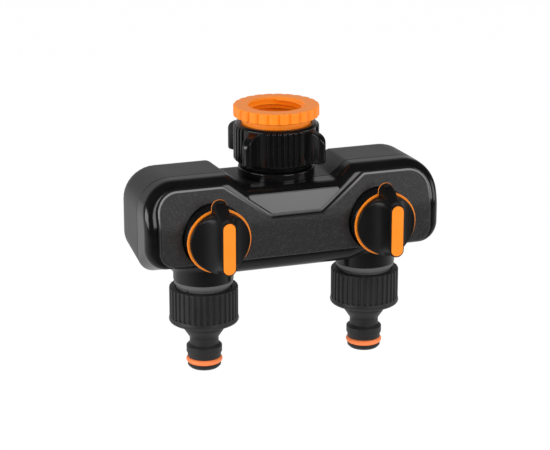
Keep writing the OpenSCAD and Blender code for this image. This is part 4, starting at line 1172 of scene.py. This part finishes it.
def makeReducer():
    r, g = reducer, gasket
    bore, union = boreThread["radius"], unionThread["radius"]
    corners = [
        (r["throat"], r["end"], 0.2), (union, r["end"], 0.5), (union, r["neckLow"] - r["neckBevel"], 0.1),
        (r["neck"], r["neckLow"], 0.1), (r["neck"], r["flangeLow"], 0.3),
        (r["lip"], r["flangeLow"], 0.3), (r["radius"], r["flangeLow"] + r["edge"], 0.35),
        (r["radius"], r["rim"], 0.6), (r["mouth"], r["rim"], 0.25),
        (bore, r["rim"] - r["mouthDepth"], 0.2), (bore, r["boreEnd"], 0.1),
        (r["recess"], r["washerTop"], 0.1), (r["recess"], r["seat"], 0.1), (r["throat"], r["seat"], 0.2),
    ]
    finish = "warmOrange"
    blank = workObject(turned(rounded(corners), r["scallops"] * r["scallopSteps"]))
    shapedBy(blank, "scallopedRim", {
        "Count": r["scallops"], "Depth": r["scallopDepth"], "Inner": r["scallopInner"], "Outer": r["radius"],
        "Finish": made[finish],
    })
    threaded(blank, finish, **boreThread)
    threaded(blank, finish, **unionThread)
    addPiece("reducer", meshOut(blank), "reducer", finish, ["inlet_reducer"], crease=40.0)
    corners = [
        (g["bore"], g["low"], g["lowEdge"]), (g["radius"], g["low"], g["lowEdge"]),
        (g["radius"], g["top"], g["topEdge"]), (g["bore"], g["top"], g["topEdge"]),
    ]
    washer = meshOf(turned(rounded(corners, 4)))
    addPiece("reducer_gasket", washer, "reducer_seal", "rubberBlack", ["reducer_washer"])


nut = {
    "top": -7.0, "foot": -28.0, "radius": 20.5, "core": 19.7, "taper": 2.5, "topBevel": 1.0,
    "ribs": 7, "ribSpan": 46.0, "ribLow": -25.0, "ribGap": 0.9, "ribFoot": 1.0, "ribTop": 0.62,
    "ribTaper": 0.9, "bore": 16.85, "shoulder": -23.2, "neck": 12.8,
    "wings": 4, "wingTurn": 38.4, "wingReach": 27.2, "wingHalf": 2.15, "wingTop": -8.1, "wingHeight": 16.6,
    "wingFall": 3.0, "wingRise": 0.5, "wingRoot": 18.3, "wingTipBend": 4.0, "wingLowBend": 1.6,
    "wingNeck": 22.1, "wingFlare": 1.6, "wingEdge": 0.8, "wingEdgeShare": 0.9, "wingTip": 0.2,
    "wingStations": (0.0, 0.1, 0.2, 0.3, 0.43), "wingEnd": 0.9995,
}
ribShape = {"sunk": 0.6, "crown": 0.12, "flat": 0.6}
ribEnd = [(0.0, 0.0), (0.35, 0.72), (1.0, 1.0)]        # shares of a rib's taper and of its height there


def ribForm(inner, outer, low, high, halfFoot, halfTop, taper):
    # one upright rib: a rounded bar that sinks into its core and slopes away at both ends
    levels = [(low + taper * along, part) for along, part in ribEnd]
    levels += [(high - taper * along, part) for along, part in reversed(ribEnd)]
    rings = []
    for z, part in levels:
        top = inner + (outer - inner) * part
        corner = top - ribShape["crown"] * part
        half = [
            (inner - ribShape["sunk"], halfFoot), (inner, halfFoot), (corner, halfTop),
            (top, halfTop * ribShape["flat"]),
        ]
        rings.append([(x, -y, z) for x, y in half] + [(x, y, z) for x, y in reversed(half)])
    return lofted(rings)


def wingForm():
    # one wing: flared where it leaves the nut, with a sloping top, a round tip and soft edges
    n = nut
    rings = []
    span = n["wingReach"] - n["wingRoot"]
    outer = [0.5 + 0.5 * sin(radians(a)) for a in range(0, 86, 7)]
    stations = [*n["wingStations"], *outer, n["wingEnd"]]
    for part in stations:
        s = n["wingRoot"] + span * part
        flare = max(0.0, (n["wingNeck"] - s) / (n["wingNeck"] - n["wingRoot"]))
        half = n["wingHalf"] + n["wingFlare"] * flare * flare
        left = n["wingReach"] - s
        half -= roundIn(n["wingHalf"] - n["wingTip"], n["wingHalf"], left)
        top = n["wingTop"] - n["wingFall"] * part - roundIn(n["wingTipBend"], n["wingTipBend"], left)
        low = n["wingTop"] - n["wingHeight"] + n["wingRise"] * part
        low += roundIn(n["wingLowBend"], n["wingLowBend"], left)
        bend = min(n["wingEdge"], half * n["wingEdgeShare"])
        outline = rounded([(-half, low, bend), (half, low, bend), (half, top, bend), (-half, top, bend)], 4)
        rings.append([(s, y, z) for y, z in outline])
    return lofted(rings)


def makeNut():
    n = nut
    corners = [
        (n["neck"], n["foot"], 0.2), (n["core"] - n["taper"], n["foot"], 0.7), (n["core"], n["ribLow"], 0.9),
        (n["core"], n["top"] - n["topBevel"], 0.5), (n["core"] - n["topBevel"], n["top"], 0.4),
        (n["bore"], n["top"], 0.3), (n["bore"], n["shoulder"], 0.2), (n["neck"], n["shoulder"], 0.2),
    ]
    blank = workObject(turned(rounded(corners), facets["nut"]))
    first = n["wingTurn"] + 180.0 / n["wings"] - n["ribSpan"] / 2
    for i in range(n["ribs"]):
        rib = ribForm(
            n["core"], n["radius"], n["ribLow"], n["top"] - n["ribGap"],
            n["ribFoot"], n["ribTop"], n["ribTaper"],
        )
        turn = radians(first + n["ribSpan"] * i / (n["ribs"] - 1))
        ringOf(blank, meshOf(rib), n["wings"], turn, "nutBlack")
    ringOf(blank, meshOf(wingForm()), n["wings"], radians(n["wingTurn"]), "nutBlack")
    addPiece("nut", meshOut(blank), "swivel_nut", "nutBlack", ["swivel_nut"], crease=40.0)


collar = {
    "bore": 12.65, "spigotBore": 15.65, "spigot": 17.85, "radius": 18.4, "top": -28.3, "step": -30.7,
    "seat": -32.3, "low": -34.7,
}


def makeCollar():
    c = collar
    corners = [
        (c["bore"], c["step"], 0), (c["spigotBore"], c["step"], 0), (c["spigotBore"], c["low"], 0),
        (c["spigot"], c["low"], 0), (c["spigot"], c["seat"], 0), (c["radius"], c["seat"], 0.15),
        (c["radius"], c["top"], 0.7), (c["bore"], c["top"], 0.3),
    ]
    ring = turned(rounded(corners, 6), facets["large"])
    addPiece("collar", meshOf(ring), "housing", "nutBlack", ["inlet_collar"])


makeReducer()
makeNut()
makeCollar()
print("inlet: reducer, nut and collar")


# Outlets and hose connectors

outlet = {
    "x": 41.0, "y": -13.1, "ringTop": -76.8, "ringLow": -79.3, "ringRadius": 14.2, "ringFoot": 13.6,
    "lip": -78.6, "lipRise": 0.15, "lipDraft": 0.1, "stub": -91.1, "bore": 9.0, "boreOver": 1.0, "tube": 11.9,
    "crossRadius": 7.5, "crossBack": -1.0, "chamber": 11.0, "chamberWall": 1.6, "chamberBack": 2.1,
    "chamberTo": 40.0, "caseBack": 0.5, "caseFront": 31.0, "inletCase": 15.0, "inletLow": -58.2,
    "inletTop": -32.9, "inletBore": 7.5, "inletSeat": 11.15, "inletSeatLow": -43.9, "inletTo": -20.0,
}
outletThread = {"radius": 12.25, "depth": 0.85, "pitch": 1.814, "turns": 5.6, "foot": -90.5}


def makeOutlets():
    o = outlet
    z = housing["valveZ"]
    root = outletThread["radius"]
    across = Matrix.Translation((0, o["y"], z)) @ Matrix.Rotation(radians(90), 4, "Y")
    core = workObject(moved(rod(o["crossRadius"], -o["x"], o["x"]), across))
    inlet = rod(o["inletCase"], o["inletLow"], o["inletTop"])
    worked(core, "UNION", [inlet, alongY(rod(o["crossRadius"], o["crossBack"], -o["y"]), 0, z)])
    tubes = []
    for side in sides.values():
        case = rod(o["chamber"] + o["chamberWall"], o["caseBack"], o["caseFront"])
        corners = [
            (0, z, 0), (o["tube"], z, 0), (o["tube"], o["ringTop"], 0), (o["ringRadius"], o["ringTop"], 0.2),
            (o["ringRadius"] - o["lipDraft"], o["lip"] + o["lipRise"], 0.12), (o["ringFoot"], o["lip"], 0.05),
            (o["ringFoot"], o["ringLow"], 0.25), (root, o["ringLow"], 0.1), (root, o["stub"], 0.5),
            (0, o["stub"], 0),
        ]
        tube = turned(rounded(corners), facets["large"])
        tubes += [alongY(case, side * o["x"], z), shifted(tube, side * o["x"], o["y"], 0)]
    worked(core, "UNION", tubes)
    bores = []
    for side in sides.values():
        bores.append(alongY(rod(o["chamber"], o["chamberBack"], o["chamberTo"]), side * o["x"], z))
        passage = rod(o["bore"], o["stub"] - o["boreOver"], z + o["boreOver"])
        bores.append(shifted(passage, side * o["x"], o["y"], 0))
    bores.append(rod(o["inletSeat"], o["inletSeatLow"], o["inletTo"]))
    bores.append(rod(o["inletBore"], z, o["inletTo"]))
    worked(core, "DIFFERENCE", bores)
    meshes = [meshOut(core)]
    for side in sides.values():
        ridge = meshOut(threaded(workObject(bmesh.new()), "coreGrey", **outletThread))
        ridge.transform(Matrix.Translation((side * o["x"], o["y"], 0)))
        meshes.append(ridge)
    addPiece("core", joined(meshes), "housing", "coreGrey", ["manifold_core"])


connector = {
    "top": -80.3, "gripEnd": -96.7, "foot": -98.1, "core": 15.8, "radius": 16.4, "edge": 0.5, "rim": 16.7,
    "flareTop": -95.1, "ribs": 36, "ribTurn": 5.0, "ribSink": 0.8, "ribGap": 0.2, "ribFoot": 0.95,
    "ribTop": 0.65, "ribTaper": 0.55, "socket": 13.35, "socketFloor": -93.9, "bore": 4.75,
    "footRadius": 10.5, "coneKnee": (9.95, -101.66), "waist": 6.95, "coneEnd": -106.2, "waistEnd": -109.2,
    "collarTop": -110.6, "collarEnd": -113.6, "collar": 8.55, "collarBevel": 0.6, "barrel": 8.0, "tip": 6.9,
    "tipBevel": 1.1, "ringZ": -117.6, "ringHalf": 1.45, "grooveFloor": 5.8, "end": -121.5,
}
seal = {"reach": 8.7, "half": 1.37, "steps": 32}


def makeConnector(side):
    c, s = connector, seal
    ringTop, ringLow = c["ringZ"] + c["ringHalf"], c["ringZ"] - c["ringHalf"]
    corners = [
        (c["bore"], c["end"], 0.3), (c["tip"], c["end"], 0.4), (c["barrel"], c["end"] + c["tipBevel"], 0.5),
        (c["barrel"], ringLow, 0.12), (c["grooveFloor"], ringLow, 0.1), (c["grooveFloor"], ringTop, 0.1),
        (c["barrel"], ringTop, 0.12), (c["barrel"], c["collarEnd"] - c["collarBevel"], 0.1),
        (c["collar"], c["collarEnd"], 0.2), (c["collar"], c["collarTop"], 0.35),
        (c["collar"] - c["collarBevel"], c["collarTop"] + c["collarBevel"], 0.25),
        (c["waist"], c["waistEnd"], 0.4), (c["waist"], c["coneEnd"], 0.8), (*c["coneKnee"], 1.2),
        (c["footRadius"], c["foot"], 0.4), (c["rim"], c["foot"], 1.3), (c["rim"], c["gripEnd"] + 0.1, 0.3),
        (c["radius"], c["flareTop"], 0.2), (c["core"], c["flareTop"] + 0.2, 0.1),
        (c["core"], c["top"] - c["edge"], 0.2), (c["core"] - c["edge"], c["top"], 0.25),
        (c["socket"], c["top"], 0.3), (c["socket"], c["socketFloor"], 0.2),
        (c["bore"], c["socketFloor"], 0.2),
    ]
    blank = workObject(turned(rounded(corners, 4), facets["connector"]))
    rib = ribForm(
        c["core"], c["radius"], c["flareTop"] - c["ribSink"], c["top"] - c["ribGap"],
        c["ribFoot"], c["ribTop"], c["ribTaper"],
    )
    ringOf(blank, meshOf(rib), c["ribs"], radians(c["ribTurn"]), "connectorBlack")
    turns = [2 * pi * k / s["steps"] for k in range(s["steps"])]
    circle = [(s["reach"] - s["half"] + s["half"] * cos(a), c["ringZ"] + s["half"] * sin(a)) for a in turns]
    shank, ring = meshOut(blank), meshOf(turned(circle, facets["large"]))
    for mesh in (shank, ring):
        mesh.transform(Matrix.Translation((sides[side] * outlet["x"], outlet["y"], 0)))
    body = side + "_connector"
    addPiece(side + "_hose_connector", shank, body, "connectorBlack", [body], crease=38.0)
    addPiece(side + "_nipple_seal", ring, body, "sealOrange", [side + "_nipple_o_ring"])


makeOutlets()
for side in sides:
    makeConnector(side)
print("outlets: core and two connectors")


# Screws in the back

screw = {
    "head": 3.1, "headHeight": 2.0, "shank": 1.4, "length": 15.0, "cross": 3.4, "blade": 0.75, "depth": 1.3,
}


def makeScrews():
    w = screw
    corners = [
        (0, -w["length"], 0), (w["shank"], -w["length"], 0), (w["shank"], 0, 0), (w["head"], 0, 0.2),
        (w["head"], w["headHeight"], 0.7), (0, w["headHeight"], 0),
    ]
    one = workObject(turned(rounded(corners), facets["small"]))
    blades = []
    for turn in (0, 90):
        bm = bmesh.new()
        bmesh.ops.create_cube(bm, size=1.0)
        size = Matrix.Diagonal((w["cross"], w["blade"], 2 * w["depth"], 1.0))
        place = Matrix.Translation((0, 0, w["headHeight"])) @ Matrix.Rotation(radians(turn), 4, "Z")
        blades.append(moved(bm, place @ size))
    worked(one, "DIFFERENCE", blades)
    one.data.transform(Matrix.Rotation(radians(-90), 4, "X"))
    places = bmesh.new()
    for side in sides.values():
        for x, z in screwSites:
            places.verts.new((side * x, housing["screwSeat"], z))
    sites = workObject(places)
    shapedBy(sites, "copiesAtSites", {"Copy": one, "Finish": made["brushedSteel"]})
    removeObject(one)
    addPiece("back_screws", meshOut(sites), "housing", "brushedSteel", ["cover_screws"])


makeScrews()
print("screws: six in the back")


# Inner pieces keep their own shapes

kept = {
    "inlet_tailpiece": "nutBlack", "tailpiece_o_ring": "rubberBlack", "nut_clip": "brushedSteel",
    "union_washer": "rubberBlack",
}
keptEachSide = {
    "bonnet_o_ring": "rubberBlack", "ball_seats": "valveIvory", "ball": "valveIvory", "stem": "valveIvory",
    "stem_o_rings": "rubberBlack", "knob_screw": "brushedSteel", "connector_washer": "rubberBlack",
}
for side in sides:
    kept.update({side + "_" + name: finish for name, finish in keptEachSide.items()})
for name, finish in kept.items():
    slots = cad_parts[name].data.materials
    slots.clear()
    slots.append(made[finish])
print("inner pieces:", len(kept))
